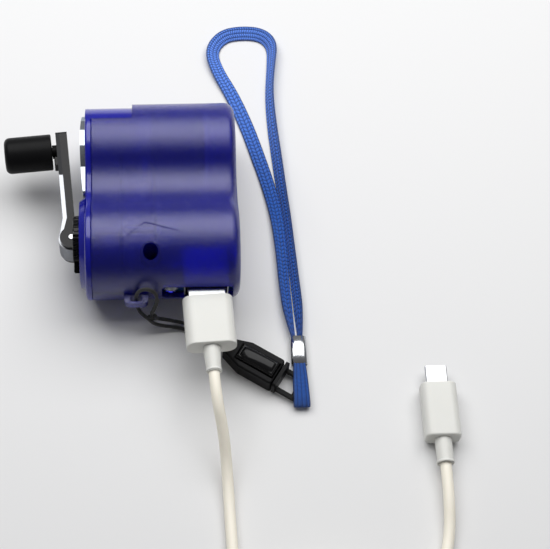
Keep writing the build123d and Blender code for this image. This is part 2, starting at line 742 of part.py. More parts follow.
# ---- gears ----
def gear_face(teeth, phase):
    """A spur gear's outline in the YZ plane, with the first tooth's middle at phase degrees from +Y."""
    pitch_radius = gear_module * teeth / 2
    base_radius = pitch_radius * math.cos(math.radians(pressure_angle))
    root_radius = pitch_radius - tooth_dedendum * gear_module
    tip_radius = pitch_radius + tooth_addendum * gear_module
    start_radius = max(base_radius, root_radius)

    def involute(radius):
        angle = math.acos(min(1.0, base_radius / radius))
        return math.tan(angle) - angle

    def half_width(radius):
        flank = math.pi / (2 * teeth) - tooth_backlash / (2 * pitch_radius)
        return flank + involute(pitch_radius) - involute(radius)

    def at(radius, angle):
        return Vector(0, radius * math.cos(angle), radius * math.sin(angle))

    edges = []
    middle_radius = (start_radius + tip_radius) / 2
    for tooth in range(teeth):
        centre = math.radians(phase) + 2 * math.pi * tooth / teeth
        after = centre + 2 * math.pi / teeth
        low = half_width(start_radius)
        tip = half_width(tip_radius)
        mid = half_width(middle_radius)
        rise = [at(start_radius, centre - low), at(middle_radius, centre - mid), at(tip_radius, centre - tip)]
        fall = [at(tip_radius, centre + tip), at(middle_radius, centre + mid), at(start_radius, centre + low)]
        root = [at(root_radius, centre + low), at(root_radius, after - low)]
        edges.append(ThreePointArc(*rise))
        edges.append(Line(rise[2], fall[0]))
        edges.append(ThreePointArc(*fall))
        if base_radius > root_radius:
            edges.append(Line(fall[2], root[0]))
        edges.append(Line(root[0], root[1]))
        if base_radius > root_radius:
            edges.append(Line(root[1], at(start_radius, after - low)))
    return Face(Wire(edges))


def gear(teeth, x, y, phase, bore):
    body = Pos(0, y, axis_height) * prism(gear_face(teeth, phase), x)
    return body - rod_x(bore, (x[0] - 1, x[1] + 1), y)


def pinion_phase(teeth):
    """A pinion's gap faces back along -Y to meet a wheel's tooth."""
    return 180.0 - 180.0 / teeth


def drive_gear():
    body = gear(drive_teeth, drive_x, axis_ys[0], 0, shaft_radius)
    hub = rod_x(drive_hub_radius, (drive_x[1], drive_hub_end_x), crank_y)
    web_x = (drive_x[0] - 1, drive_x[1] + 1)
    web_holes = rod_x(web_hole_radius, web_x, crank_y + web_hole_circle)
    for turn in range(1, 6):
        angle = math.radians(60 * turn)
        y = crank_y + web_hole_circle * math.cos(angle)
        z = axis_height + web_hole_circle * math.sin(angle)
        web_holes += rod_x(web_hole_radius, web_x, y, z)
    hub -= rod_x(shaft_radius, (drive_x[0], drive_hub_end_x + 1), crank_y)
    return body + hub - web_holes


def compound_gear(wheel_teeth, pinion_x, wheel_x, y, hub_x):
    phase = pinion_phase(pinion_teeth)
    bore = axle_radius + running_fit
    wheel = gear(wheel_teeth, wheel_x, y, 0, bore)
    pinion = gear(pinion_teeth, pinion_x, y, phase, bore)
    hub = rod_x(gear_hub_radius, hub_x, y) - rod_x(bore, (hub_x[0] - 1, hub_x[1] + 1), y)
    return wheel + pinion + hub


def frame_plate(x, near_y, far_y):
    plate = prism(case_profile(case_wall + plate_gap), x)
    return plate & block(x, (near_y, far_y), (0, 2 * axis_height))


def spaced(radius, x):
    rods = []
    for offset_y, offset_z in spacer_places:
        rods.append(rod_x(radius, x, crank_y + offset_y, axis_height + offset_z))
    return rods


def gear_plate_left():
    plate = frame_plate(plate_left_x, plate_left_near_y, plate_left_far_y)
    plate -= rod_x(bush_radius, (plate_left_x[0] - 1, plate_left_x[1] + 1), crank_y)
    for hole in spaced(frame_screw_radius, (plate_left_x[0] - 1, plate_left_x[1] + 1)):
        plate -= hole
    for y in axis_ys[1:3]:
        plate -= rod_x(axle_radius, (plate_left_x[0] - 1, plate_left_x[1] + 1), y)
    return plate


def gear_plate_right():
    x = (plate_right_x[0] - 1, plate_right_x[1] + 1)
    plate = frame_plate(plate_right_x, plate_right_near_y, plate_right_far_y)
    plate -= rod_x(bush_radius, x, crank_y)
    plate -= rod_x(gear_module * pinion_teeth / 2 + 1.2, x, generator_y)
    for hole in spaced(frame_screw_radius, x):
        plate -= hole
    for y in axis_ys[1:3]:
        plate -= rod_x(axle_radius, x, y)
    for side in (-1, 1):
        plate -= rod_x(generator_screw_radius, x, generator_y, axis_height + side * generator_screw_offset)
    return plate


def gear_spacers():
    spacers = []
    between = spaced(spacer_radius, (plate_left_x[1], plate_right_x[0]))
    bores = spaced(frame_screw_radius, (plate_left_x[1] - 1, plate_right_x[0] + 1))
    for spacer, bore in zip(between, bores):
        spacers.append(spacer - bore)
    return Compound(spacers)


def frame_screws():
    start = plate_left_x[0] - 4.0
    shanks = spaced(frame_screw_radius, (start, plate_right_x[1]))
    heads = spaced(frame_screw_head_radius, (plate_right_x[1], plate_right_x[1] + frame_screw_head))
    return Compound([shank + head for shank, head in zip(shanks, heads)])


def compound_axles():
    return Compound([rod_x(axle_radius, (plate_left_x[0], plate_right_x[1]), y) for y in axis_ys[1:3]])


# ---- generator ----
def generator_can():
    can = rod_x(can_radius, can_x, generator_y)
    can = fillet(can.edges().group_by(Axis.X)[0], 1.0)
    can -= rod_x(can_radius - can_wall, (can_x[0] + can_wall, can_x[1] + 1), generator_y)
    can -= rod_x(rotor_shaft_radius + running_fit, (can_x[0] - 1, can_x[1]), generator_y)
    for side in (-1, 1):
        z = axis_height + side * generator_screw_offset
        can -= rod_x(generator_screw_radius, (can_x[0] - 1, can_x[0] + can_wall + 1), generator_y, z)
    return can


def generator_end_bell():
    x = (can_x[1], can_x[1] + bell_thickness)
    bell = rod_x(can_radius, x, generator_y)
    bell += rod_x(can_radius - can_wall, (can_x[1] - 1.2, can_x[1]), generator_y)
    bell += rod_x(bell_boss_radius, (x[1], x[1] + bell_boss_length), generator_y)
    bell -= rod_x(commutator_radius + 1.5, (can_x[1] - 2, can_x[1]), generator_y)
    bore_x = (can_x[0], x[1] + bell_boss_length - 0.5)
    return bell - rod_x(rotor_shaft_radius + running_fit, bore_x, generator_y)


def generator_magnets():
    outer = can_radius - can_wall
    start = can_x[0] + can_wall + 0.6
    x = (start, start + magnet_length)
    ring = rod_x(outer, x, generator_y) - rod_x(outer - magnet_thickness, x, generator_y)
    wedge_half = math.radians(magnet_angle / 2)
    magnets = []
    for side in (-1, 1):
        far = 2 * can_radius
        corner_y = far * math.sin(wedge_half)
        corner_z = far * math.cos(wedge_half) * side
        corners = [(0, 0, 0), (0, corner_y, corner_z), (0, 0, 3 * far * side), (0, -corner_y, corner_z)]
        wedge = Pos(0, generator_y, axis_height) * prism(Face(Wire(Polyline(*corners, close=True))), x)
        magnets.append(ring & wedge)
    return Compound(magnets)


def core_x():
    start = can_x[0] + can_wall + 2.4
    return (start, start + core_length)


def rotor_core():
    x = core_x()
    core = rod_x(core_radius, x, generator_y)
    for pole in range(3):
        turn = Pos(0, generator_y, axis_height) * Rot(120 * pole + 60, 0, 0)
        length = core_radius - core_hub_radius + 1
        slot = Box(core_length + 1, core_slot_width, length)
        core -= turn * Pos((x[0] + x[1]) / 2, 0, core_hub_radius + length / 2) * slot
        pocket = Pos((x[0] + x[1]) / 2, 0, 4.9) * Rot(0, 90, 0) * Cylinder(1.9, core_length + 1)
        core -= turn * pocket
    return core - rod_x(rotor_shaft_radius, (x[0] - 1, x[1] + 1), generator_y)


def rotor_windings():
    """Copper overhang at both faces of the core, one pad for each pole."""
    x = core_x()
    pads = []
    for face_x in ((x[0] - winding_overhang, x[0]), (x[1], x[1] + winding_overhang)):
        for pole in range(3):
            turn = Pos(0, generator_y, axis_height) * Rot(120 * pole, 0, 0)
            height = winding_radius - rotor_shaft_radius - 1.2
            pad = Box(winding_overhang, 4.2, height)
            pad = fillet(pad.edges().filter_by(Axis.X), 1.2)
            middle = rotor_shaft_radius + 1.2 + height / 2
            pads.append(turn * Pos((face_x[0] + face_x[1]) / 2, 0, middle) * pad)
    return Compound(pads)


def rotor_shaft():
    x = core_x()
    end = can_x[1] + bell_thickness + bell_boss_length - 0.7
    shaft = rod_x(rotor_shaft_radius, (generator_pinion_x[0], end), generator_y)
    start = x[1] + winding_overhang + 0.4
    return shaft + rod_x(commutator_radius, (start, start + commutator_length), generator_y)


def generator_screws():
    screws = []
    for side in (-1, 1):
        z = axis_height + side * generator_screw_offset
        head_x = (plate_right_x[0] - generator_screw_head, plate_right_x[0])
        shank_x = (plate_right_x[0], can_x[0] + can_wall)
        head = rod_x(generator_screw_head_radius, head_x, generator_y, z)
        screws.append(head + rod_x(generator_screw_radius, shank_x, generator_y, z))
    return Compound(screws)


# ---- circuit ----
def circuit_board():
    board = block(board_x, board_y, (board_top - board_thickness, board_top))
    for x, y in post_places:
        board -= rod_z(board_screw_radius, (0, board_top + 1), x, y)
    return board


def board_screws():
    screws = []
    for x, y in post_places:
        head = rod_z(board_screw_head_radius, (board_top, board_top + board_screw_head), x, y)
        shank = rod_z(board_screw_radius, (board_top - board_screw_length, board_top), x, y)
        screws.append(head + shank)
    return Compound(screws)


def usb_socket_shell():
    half = socket_width / 2
    x = (socket_x - half, socket_x + half)
    y = (socket_mouth_y, socket_mouth_y + socket_length)
    z = (axis_height - socket_height / 2, axis_height + socket_height / 2)
    body = block(x, y, z)
    inner_x = (x[0] + socket_wall, x[1] - socket_wall)
    inner_z = (z[0] + socket_wall, z[1] - socket_wall)
    body -= block(inner_x, (y[0] - 1, y[1] - socket_wall), inner_z)
    leg_y = (y[1] - 4, y[1] - 4 + socket_leg_width)
    for leg_x in ((x[0], x[0] + socket_wall), (x[1] - socket_wall, x[1])):
        body += block(leg_x, leg_y, (board_top, z[0]))
    return body


def usb_socket_tongue():
    half = tongue_width / 2
    back_y = socket_mouth_y + socket_length - socket_wall
    x = (socket_x - half, socket_x + half)
    low = axis_height + tongue_above_axis
    body = block(x, (socket_mouth_y + 1.2, back_y), (low, low + tongue_thickness))
    wide = socket_width / 2 - socket_wall
    tall = socket_height / 2 - socket_wall
    back_x = (socket_x - wide, socket_x + wide)
    return body + block(back_x, (back_y - tongue_back, back_y), (axis_height - tall, axis_height + tall))


def led():
    back = led_front_y + led_length + led_radius
    body = rod_y(led_radius, (led_front_y + led_radius, back), led_x, axis_height)
    body += Pos(led_x, led_front_y + led_radius, axis_height) * Sphere(led_radius)
    return body + rod_y(led_rim_radius, (back - led_rim_thickness, back), led_x, axis_height)


def led_leads():
    back = led_front_y + led_length + led_radius
    leads = []
    for side in (-1, 1):
        x = led_x + side * led_lead_spacing / 2
        lead = rod_y(led_lead_radius, (back, back + led_lead_bend), x, axis_height)
        lead += Pos(x, back + led_lead_bend, axis_height) * Sphere(led_lead_radius)
        leads.append(lead + rod_z(led_lead_radius, (board_top, axis_height), x, back + led_lead_bend))
    return Compound(leads)


def capacitor():
    middle_z = board_top + capacitor_radius
    x, y = capacitor_place
    body = rod_y(capacitor_radius, (y, y + capacitor_length), x, middle_z)
    return fillet(body.edges().group_by(Axis.Y)[0], 0.4)


def on_board(size, x, y):
    return block((x, x + size[0]), (y, y + size[1]), (board_top, board_top + size[2]))


def board_diodes():
    return Compound([on_board(diode_size, x, y) for x, y in diode_places])


def generator_leads():
    wires = []
    terminal_x = can_x[1] + bell_thickness + generator_wire_diameter / 2
    for side in (-1, 1):
        start = (terminal_x, generator_y - can_radius + 3.5, axis_height + 2.5 * side)
        mid = (terminal_x + 1.5, generator_y - can_radius - 4.0, axis_height + 1.5 * side)
        down_x = terminal_x + 1.2 + 0.6 * side
        low = (down_x, 7.2, board_top + 3.4)
        end = (down_x, 7.2, board_top)
        wires.append(tube([start, mid, low, end], generator_wire_diameter / 2, "generator lead"))
    return Compound(wires)


# ---- wrist cord, buckle and strap ----
def string_bead():
    bead = Pos(*bead_place) * Box(*bead_size)
    bead = fillet(bead.edges(), 0.7)
    for points in (string_upper, string_lower):
        bead -= tube(points, string_diameter / 2 + 0.02, "bead bore")
    return bead


def at_buckle(shape):
    """From the buckle's own frame, +X towards the strap, to its place on the table."""
    return Pos(*buckle_place) * Rot(0, 0, buckle_turn) * shape


def buckle_body():
    mouth = -buckle_gap
    back = mouth - buckle_length
    shoulder = mouth - buckle_shoulder
    nose = buckle_nose_half_width
    wide = buckle_half_width
    outline = [(back, nose), (shoulder, wide), (mouth, wide), (mouth, -wide), (shoulder, -wide), (back, -nose)]
    body = extrude(Face(Wire(Polyline(*outline, close=True))), amount=buckle_height, dir=(0, 0, 1))
    body = fillet(body.edges().filter_by(Axis.Z), 2 * buckle_edge_round - 0.2)
    body = fillet(body.edges().group_by(Axis.Z)[-1], buckle_edge_round)
    slot_y = (-tongue_slot_half_width, tongue_slot_half_width)
    body -= block((mouth - tongue_slot_depth, mouth + 1), slot_y, tongue_slot_z)
    well_x = (latch_x[0] - latch_well_gap, latch_x[1] + latch_well_gap)
    well = latch_half_width + latch_well_gap
    body -= block(well_x, (-well, well), (latch_well_z, buckle_height + 1))
    bore = latch_pivot_radius + running_fit
    half = latch_pivot_half + close_gap
    body -= rod_y(bore, (-half, half), latch_pivot_x, latch_pivot_z)
    return at_buckle(body)


def buckle_latch():
    half = latch_half_width
    lever = block(latch_x, (-half, half), latch_z)
    lever = fillet(lever.edges().group_by(Axis.Z)[-1], 0.9)
    dish_z = latch_z[1] + latch_dish_radius - latch_dish_depth
    dish = Rot(90, 0, 0) * Cylinder(latch_dish_radius, latch_dish_width)
    lever -= Pos((latch_x[0] + latch_x[1]) / 2, 0, dish_z) * dish
    pivot = (-latch_pivot_half, latch_pivot_half)
    return at_buckle(lever + rod_y(latch_pivot_radius, pivot, latch_pivot_x, latch_pivot_z))


def buckle_strap_half():
    wide = strap_half_flange_width
    flange = block((0, strap_half_flange), (-wide, wide), (0.05, buckle_height))
    flange = fillet(flange.edges().filter_by(Axis.X), 1.0)
    half = tongue_slot_half_width - strap_half_tongue_gap
    tongue_z = (tongue_slot_z[0] + strap_half_tongue_gap / 2, tongue_slot_z[1] - strap_half_tongue_gap / 2)
    tongue = block((-strap_half_tongue, 0), (-half, half), tongue_z)
    tongue = fillet(tongue.edges().filter_by(Axis.Z).group_by(Axis.X)[0], 1.4)
    piece = flange + tongue
    for side in (-1, 1):
        edges = sorted((side * eye_half_width, side * (eye_half_width - eye_arm_width)))
        piece += block((strap_half_flange, eye_bar_x), edges, eye_arm_z)
        middle_y = (edges[0] + edges[1]) / 2
        piece += Pos(eye_bar_x, middle_y, sum(eye_arm_z) / 2) * Rot(90, 0, 0) * Cylinder(
            (eye_arm_z[1] - eye_arm_z[0]) / 2, eye_arm_width
        )
    bar = (-eye_half_width, eye_half_width)
    return at_buckle(piece + rod_y(eye_bar_radius, bar, eye_bar_x, sum(eye_arm_z) / 2))


def strap_heights():
    """Centre heights of the two layers of strap inside the crimp."""
    low = crimp_z[0] + crimp_wall + strap_thickness / 2 + 0.05
    return low, low + strap_thickness + close_gap


def strap_end_loop():
    """The short loop of strap from the crimp round the buckle's eye bar, in a plane along Y."""
    low, high = strap_heights()
    inside = (crimp_y[0] + crimp_y[1]) / 2 - 0.1
    turn_y = strap_loop_far_y - (strap_loop_z[1] - strap_loop_z[0]) / 2
    points = [
        (inside, high), (crimp_y[0] - 0.4, high), (crimp_y[0] - 2.4, strap_loop_z[1]),
        (turn_y, strap_loop_z[1]), (turn_y, strap_loop_z[0]), (crimp_y[0] - 2.0, strap_loop_z[0]),
        (crimp_y[0] - 0.4, low), (inside, low),
    ]
    bend = (strap_loop_z[1] - strap_loop_z[0]) / 2 - 0.03
    spots = [Vector(strap_loop_x, y, z) for y, z in points]
    path = FilletPolyline(*spots, radius=[1.2, 1.2, bend, bend, 2.0, 2.0])
    frame = Plane(origin=path @ 0, x_dir=(1, 0, 0), z_dir=path % 0)
    return sweep(frame * Rectangle(strap_width, strap_thickness), path=path)


def strap_crimp():
    half = strap_width / 2 + crimp_wall + 0.05
    x = (strap_loop_x - half, strap_loop_x + half)
    body = block(x, crimp_y, crimp_z)
    body = fillet(body.edges().filter_by(Axis.Y).group_by(Axis.Z)[-1], 0.9)
    low, high = strap_heights()
    inner_x = (x[0] + crimp_wall, x[1] - crimp_wall)
    inner_z = (low - strap_thickness / 2 - 0.05, high + strap_thickness / 2 + 0.05)
    return body - block(inner_x, (crimp_y[0] - 1, crimp_y[1] + 1), inner_z)


def band(points, height, size):
    """A strap swept along a level route: size is its width across and its thickness upwards."""
    spots = [Vector(x, y, height) for x, y in points]
    radii = []
    for before, here, after in zip(spots, spots[1:], spots[2:]):
        turn = (here - before).get_angle(after - here)
        run = min((here - before).length, (after - here).length)
        radii.append(0.45 * run / math.tan(math.radians(turn / 2)))
    path = FilletPolyline(*spots, radius=radii)
    print("strap length", round(path.length, 1), "radii", [round(r, 1) for r in radii])
    ahead = path % 0
    frame = Plane(origin=path @ 0, x_dir=(-ahead.Y, ahead.X, 0), z_dir=ahead)
    return sweep(frame * Rectangle(*size), path=path)


def halfway(a, b):
    return ((a[0] + b[0]) / 2, (a[1] + b[1]) / 2)


def wrist_strap():
    """Two flat legs side by side and one above the other, and the far bend standing on its edge."""
    low, high = strap_heights()
    start = strap_stand_from
    stop = strap_stand_to
    flat = (strap_width, strap_thickness)
    left = band(strap_route[: start + 1], low, flat)
    right = band(strap_route[stop:], high, flat)
    bend = [halfway(strap_route[start - 1], strap_route[start])]
    bend += strap_route[start : stop + 1]
    bend.append(halfway(strap_route[stop], strap_route[stop + 1]))
    upright = band(bend, crimp_z[0] + strap_width / 2, (strap_thickness, strap_width))
    return left + right + upright


# ---- USB cable ----
def at_plug(shape):
    """From the plug's own frame, -Y along the cable, to its place in the socket."""
    return Pos(plug_x, plug_pivot_y, axis_height) * Rot(0, 0, plug_yaw) * shape


def rounded_bar(size, corner, y, x=0.0, z=0.0):
    outline = Plane(origin=(x, y[0], z), x_dir=(1, 0, 0), z_dir=(0, 1, 0)) * RectangleRounded(*size, corner)
    return extrude(outline, amount=y[1] - y[0], dir=(0, 1, 0))


def plug_shell():
    width, height = plug_shell_size
    body = rounded_bar(plug_shell_size, 0.5, (0, plug_shell_length))
    hollow = (width - 2 * plug_shell_wall, height - 2 * plug_shell_wall)
    body -= rounded_bar(hollow, 0.3, (-1, plug_shell_length + 1))
    for side in (-1, 1):
        for z in (-height / 2, height / 2):
            body -= Pos(side * 2.9, plug_shell_length - 6.0, z) * Box(2.2, 2.4, 1.0)
    return at_plug(body)


def plug_insert():
    width, height = plug_shell_size
    half = width / 2 - plug_shell_wall - close_gap
    low = -height / 2 + plug_shell_wall + close_gap
    bar = block((-half, half), (0, plug_shell_length - 0.3), (low, low + plug_insert_height))
    root = block((-half, half), (0, 1.6), (low, -low))
    return at_plug(bar + root)


def plug_grip():
    body = rounded_bar(grip_size, grip_round, (-grip_length, 0))
    body = fillet(body.edges().group_by(Axis.Y)[0], grip_edge_round)
    body = fillet(body.edges().group_by(Axis.Y)[-1], grip_edge_round / 2)
    return at_plug(body)


def plug_relief():
    cone = Cone(relief_tip_radius, relief_root_radius, relief_length)
    cone = Pos(0, -grip_length - relief_length / 2, 0) * Rot(-90, 0, 0) * cone
    return at_plug(cone)


def cable_near_points():
    start = Vector(plug_x, plug_pivot_y, axis_height) + plug_axis * (grip_length + relief_length)
    ahead = start + plug_axis * cable_first_run
    end = (coil_centre[0] - coil_outer_radius, coil_centre[1] + coil_end_straight, cable_floor_z)
    return [tuple(start), tuple(ahead), *cable_near_route, end]


def cable_far_points():
    top = cable_floor_z + coil_layer_rise
    start = (coil_centre[0] + coil_outer_radius, coil_centre[1] + coil_end_straight, top)
    end = (micro_x, micro_grip_y[0] - micro_relief_length, micro_z)
    return [start, *cable_far_route, end]


def coil_spot(turns):
    """Where the coil's centre line is after so many turns: in on the floor, a climb, out on top."""
    layer = coil_turns_per_layer
    inner = coil_outer_radius - coil_pitch * layer
    angle = math.pi + 2 * math.pi * turns
    if turns <= layer:
        radius = coil_outer_radius - coil_pitch * turns
        height = 0.0
    elif turns <= layer + 0.5:
        share = (turns - layer) / 0.5
        radius = inner - coil_climb_dip * math.sin(math.pi * share)
        height = coil_layer_rise * share * share * (3 - 2 * share)
    else:
        radius = inner + coil_pitch * (turns - layer - 0.5)
        height = coil_layer_rise
    x = coil_centre[0] + radius * math.cos(angle)
    y = coil_centre[1] + radius * math.sin(angle)
    return Vector(x, y, cable_floor_z + height)


def biarc(start, start_way, end, end_way):
    """Two arcs that leave start along start_way and reach end along end_way."""
    across = end - start
    both = start_way + end_way
    share = 2 * (1 - start_way.dot(end_way))
    reach = across.dot(both)
    step = (math.sqrt(reach**2 + share * across.dot(across)) - reach) / share
    joint = (start + end + (start_way - end_way) * step) * 0.5
    return [arc_from(start, start_way, joint), arc_from(end, end_way * -1, joint)]


def arc_from(start, way, end):
    chord = end - start
    along = chord.normalized()
    aside = way - along * way.dot(along)
    turn = math.radians(way.get_angle(chord))
    sag = chord.length / 2 * math.tan(turn / 2)
    middle = (start + end) * 0.5 + aside.normalized() * sag
    return ThreePointArc(start, middle, end)


def cable_coil():
    """The length that is put away, as one unbroken tube in two layers."""
    turns = 2 * coil_turns_per_layer + 0.5
    quarters = round(4 * turns)
    spots = [coil_spot(turns * n / quarters) for n in range(quarters + 1)]
    ways = [Vector(0, -1, 0)]
    for n in range(1, quarters):
        here = turns * n / quarters
        ways.append((coil_spot(here + 0.001) - coil_spot(here - 0.001)).normalized())
    ways.append(Vector(0, 1, 0))
    edges = [Line(spots[0] - ways[0] * coil_end_straight, spots[0])]
    for n in range(quarters):
        first, second = biarc(spots[n], ways[n], spots[n + 1], ways[n + 1])
        edges += [first, second]
    edges.append(Line(spots[-1], spots[-1] + ways[-1] * coil_end_straight))
    path = Wire(edges)
    section = Plane(origin=path @ 0, z_dir=ways[0]) * Circle(cable_radius)
    solid = sweep(section, path=path)
    share = solid.volume / (math.pi * cable_radius**2 * path.length)
    print("coil length", round(path.length, 1), "volume share", round(share, 4))
    print("  least gap between turns", round(coil_gap(turns), 2))
    return solid


def coil_gap(turns):
    """The least distance between the surfaces of different turns, on points along the centre line."""
    samples = [coil_spot(turns * n / 1300) for n in range(1301)]
    apart = round(1300 / turns / 2)
    least = math.inf
    for n, here in enumerate(samples):
        for there in samples[n + apart :]:
            least = min(least, (here - there).length)
    return least - cable_diameter


def micro_grip():
    body = rounded_bar(micro_grip_size, micro_grip_round, micro_grip_y, micro_x, micro_z)
    body = fillet(body.edges().group_by(Axis.Y)[0], 0.7)
    body = fillet(body.edges().group_by(Axis.Y)[-1], 0.4)
    root, tip = micro_relief_radii
    relief = Cone(tip, root, micro_relief_length)
    middle_y = micro_grip_y[0] - micro_relief_length / 2
    return body + Pos(micro_x, middle_y, micro_z) * Rot(-90, 0, 0) * relief


def micro_tip():
    y = (micro_grip_y[1], micro_grip_y[1] + micro_tip_length)
    width, height = micro_tip_size
    body = rounded_bar(micro_tip_size, 0.45, y, micro_x, micro_z)
    hollow = (width - 2 * micro_tip_wall, height - 2 * micro_tip_wall)
    body -= rounded_bar(hollow, 0.3, (y[0] + 1.5, y[1] + 1), micro_x, micro_z)
    tongue = block((micro_x - 2.2, micro_x + 2.2), (y[0], y[1] - 0.8), (micro_z - 0.3, micro_z + 0.35))
    return body + tongue


# ---- write every piece ----
os.makedirs("parts", exist_ok=True)
save(front_shell(), "front_shell")
save(back_shell(), "back_shell")
save(case_screw(), "case_screw")
save(side_cover(), "side_cover")
save(trim_plate(), "trim_plate")
save(crank_hub(), "crank_hub")
save(hinge_pin(), "hinge_pin")
save(crank_shaft(), "crank_shaft")
save(shaft_clip(), "shaft_clip")
save(shaft_bushes(), "shaft_bushes")
save(arm_frame(), "arm_frame")
save(arm_cover(), "arm_cover")
save(knob_spindle(), "knob_spindle")
save(knob(), "knob")
save(knob_cap(), "knob_cap")
save(drive_gear(), "drive_gear")
first_hub_x = (plate_left_x[1] + close_gap, wheel_1_x[1] + 0.4)
second_hub_x = (plate_left_x[1] + close_gap, plate_right_x[0] - close_gap)
save(compound_gear(wheel_1_teeth, drive_x, wheel_1_x, axis_ys[1], first_hub_x), "compound_gear_1")
save(compound_gear(wheel_2_teeth, wheel_1_x, wheel_2_x, axis_ys[2], second_hub_x), "compound_gear_2")
pinion = gear(pinion_teeth, generator_pinion_x, generator_y, pinion_phase(pinion_teeth), rotor_shaft_radius)
save(pinion, "generator_pinion")
save(compound_axles(), "compound_axles")
save(gear_plate_left(), "gear_plate_left")
save(gear_plate_right(), "gear_plate_right")
save(gear_spacers(), "gear_spacers")
save(frame_screws(), "frame_screws")
save(generator_can(), "generator_can")
save(generator_end_bell(), "generator_end_bell")
save(generator_magnets(), "generator_magnets")
save(rotor_core(), "rotor_core")
save(rotor_windings(), "rotor_windings")
save(rotor_shaft(), "rotor_shaft")
save(generator_screws(), "generator_screws")
save(generator_leads(), "generator_leads")
save(circuit_board(), "circuit_board")
save(board_screws(), "board_screws")
save(usb_socket_shell(), "usb_socket_shell")
save(usb_socket_tongue(), "usb_socket_tongue")
save(led(), "led")
save(led_leads(), "led_leads")
save(capacitor(), "capacitor")
save(on_board(inductor_size, *inductor_place), "inductor")
save(on_board(chip_size, *chip_place), "control_chip")
save(board_diodes(), "board_diodes")
save(tube(string_upper, string_diameter / 2, "upper string"), "string_upper")
save(tube(string_lower, string_diameter / 2, "lower string"), "string_lower")
save(string_bead(), "string_bead")
save(buckle_body(), "buckle_body")
save(buckle_latch(), "buckle_latch")
save(buckle_strap_half(), "buckle_strap_half")
save(strap_end_loop(), "strap_end_loop")
save(strap_crimp(), "strap_crimp")
save(wrist_strap(), "wrist_strap")
save(plug_shell(), "plug_shell")
save(plug_insert(), "plug_insert")
save(plug_grip(), "plug_grip")
save(plug_relief(), "plug_relief")
save(tube(cable_near_points(), cable_radius, "near cable"), "cable_near")
save(cable_coil(), "cable_coil")
save(tube(cable_far_points(), cable_radius, "far cable"), "cable_far")
save(micro_grip(), "micro_grip")
save(micro_tip(), "micro_tip")
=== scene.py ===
import json
import math

import bmesh
import bpy
from mathutils import Matrix, Vector


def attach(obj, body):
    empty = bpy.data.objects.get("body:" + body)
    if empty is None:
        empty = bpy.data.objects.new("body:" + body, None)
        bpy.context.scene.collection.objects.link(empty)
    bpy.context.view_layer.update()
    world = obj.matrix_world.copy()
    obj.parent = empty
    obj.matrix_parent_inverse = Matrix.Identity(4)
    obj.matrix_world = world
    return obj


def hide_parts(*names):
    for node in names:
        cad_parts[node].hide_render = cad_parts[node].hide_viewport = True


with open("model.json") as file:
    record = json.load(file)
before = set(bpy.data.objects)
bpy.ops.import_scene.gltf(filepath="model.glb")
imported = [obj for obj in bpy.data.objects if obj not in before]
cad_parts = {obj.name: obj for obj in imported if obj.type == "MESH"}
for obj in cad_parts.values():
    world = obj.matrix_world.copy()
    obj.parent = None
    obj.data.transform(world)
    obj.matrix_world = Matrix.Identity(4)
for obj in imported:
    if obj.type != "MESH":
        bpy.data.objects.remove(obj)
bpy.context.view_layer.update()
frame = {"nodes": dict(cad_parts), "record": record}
nodes = frame["nodes"]
mm = 0.001

# places in metres, angles in degrees
camera = {
    "place": (-0.00576, -0.25694, 0.49231), "tilt": 30, "turn": -1.2, "lens": 110.36,
    "shift": (0.2015, -0.1355),
}
lamps = [
    # name, place, looks at, width, height, watts
    ("softBox", (0.02, 0.24, 0.5), (0.02, 0.0, 0.0), 0.9, 0.5, 4.8),
]


def makeCamera():
    data = bpy.data.cameras.new("photoCamera")
    data.lens = camera["lens"]
    data.shift_x, data.shift_y = camera["shift"]
    cam = bpy.data.objects.new("photoCamera", data)
    cam.location = camera["place"]
    cam.rotation_euler = (math.radians(camera["tilt"]), 0, math.radians(camera["turn"]))
    bpy.context.scene.collection.objects.link(cam)
    bpy.context.scene.camera = cam


def makeLamp(name, place, target, width, height, watts):
    data = bpy.data.lights.new(name, "AREA")
    data.shape = "RECTANGLE"
    data.size, data.size_y, data.energy = width, height, watts
    lamp = bpy.data.objects.new(name, data)
    lamp.location = place
    lamp.rotation_euler = (Vector(target) - Vector(place)).to_track_quat("-Z", "Y").to_euler()
    bpy.context.scene.collection.objects.link(lamp)


def metres(point):
    return tuple(value * mm for value in point)


def linkObject(name, data):
    piece = bpy.data.objects.new(name, data)
    bpy.context.scene.collection.objects.link(piece)
    return piece


def mathNode(tree, operation, *values):
    node = tree.nodes.new("ShaderNodeMath")
    node.operation = operation
    for socket, value in zip(node.inputs, values):
        if isinstance(value, (int, float)):
            socket.default_value = value
        else:
            tree.links.new(value, socket)
    return node.outputs[0]


# sockets of a mix node that mixes colours
mixSockets = {"factor": 0, "first": 6, "second": 7, "result": 2}


def mixColor(tree, factor, first, second, blend="MIX"):
    node = tree.nodes.new("ShaderNodeMix")
    node.data_type = "RGBA"
    node.blend_type = blend
    for label, value in (("factor", factor), ("first", first), ("second", second)):
        socket = node.inputs[mixSockets[label]]
        if isinstance(value, (int, float)):
            socket.default_value = value
        elif isinstance(value, tuple):
            socket.default_value = (*value, 1)
        else:
            tree.links.new(value, socket)
    return node.outputs[mixSockets["result"]]


def splitVector(tree, vector):
    node = tree.nodes.new("ShaderNodeSeparateXYZ")
    tree.links.new(vector, node.inputs[0])
    return node.outputs


def noiseNode(tree, vector, scale, detail=3.0, rough=0.5):
    node = tree.nodes.new("ShaderNodeTexNoise")
    node.inputs["Detail"].default_value = detail
    node.inputs["Roughness"].default_value = rough
    tree.links.new(vector, node.inputs["Vector"])
    if isinstance(scale, (int, float)):
        node.inputs["Scale"].default_value = scale
    else:
        tree.links.new(scale, node.inputs["Scale"])
    return node.outputs["Fac"]


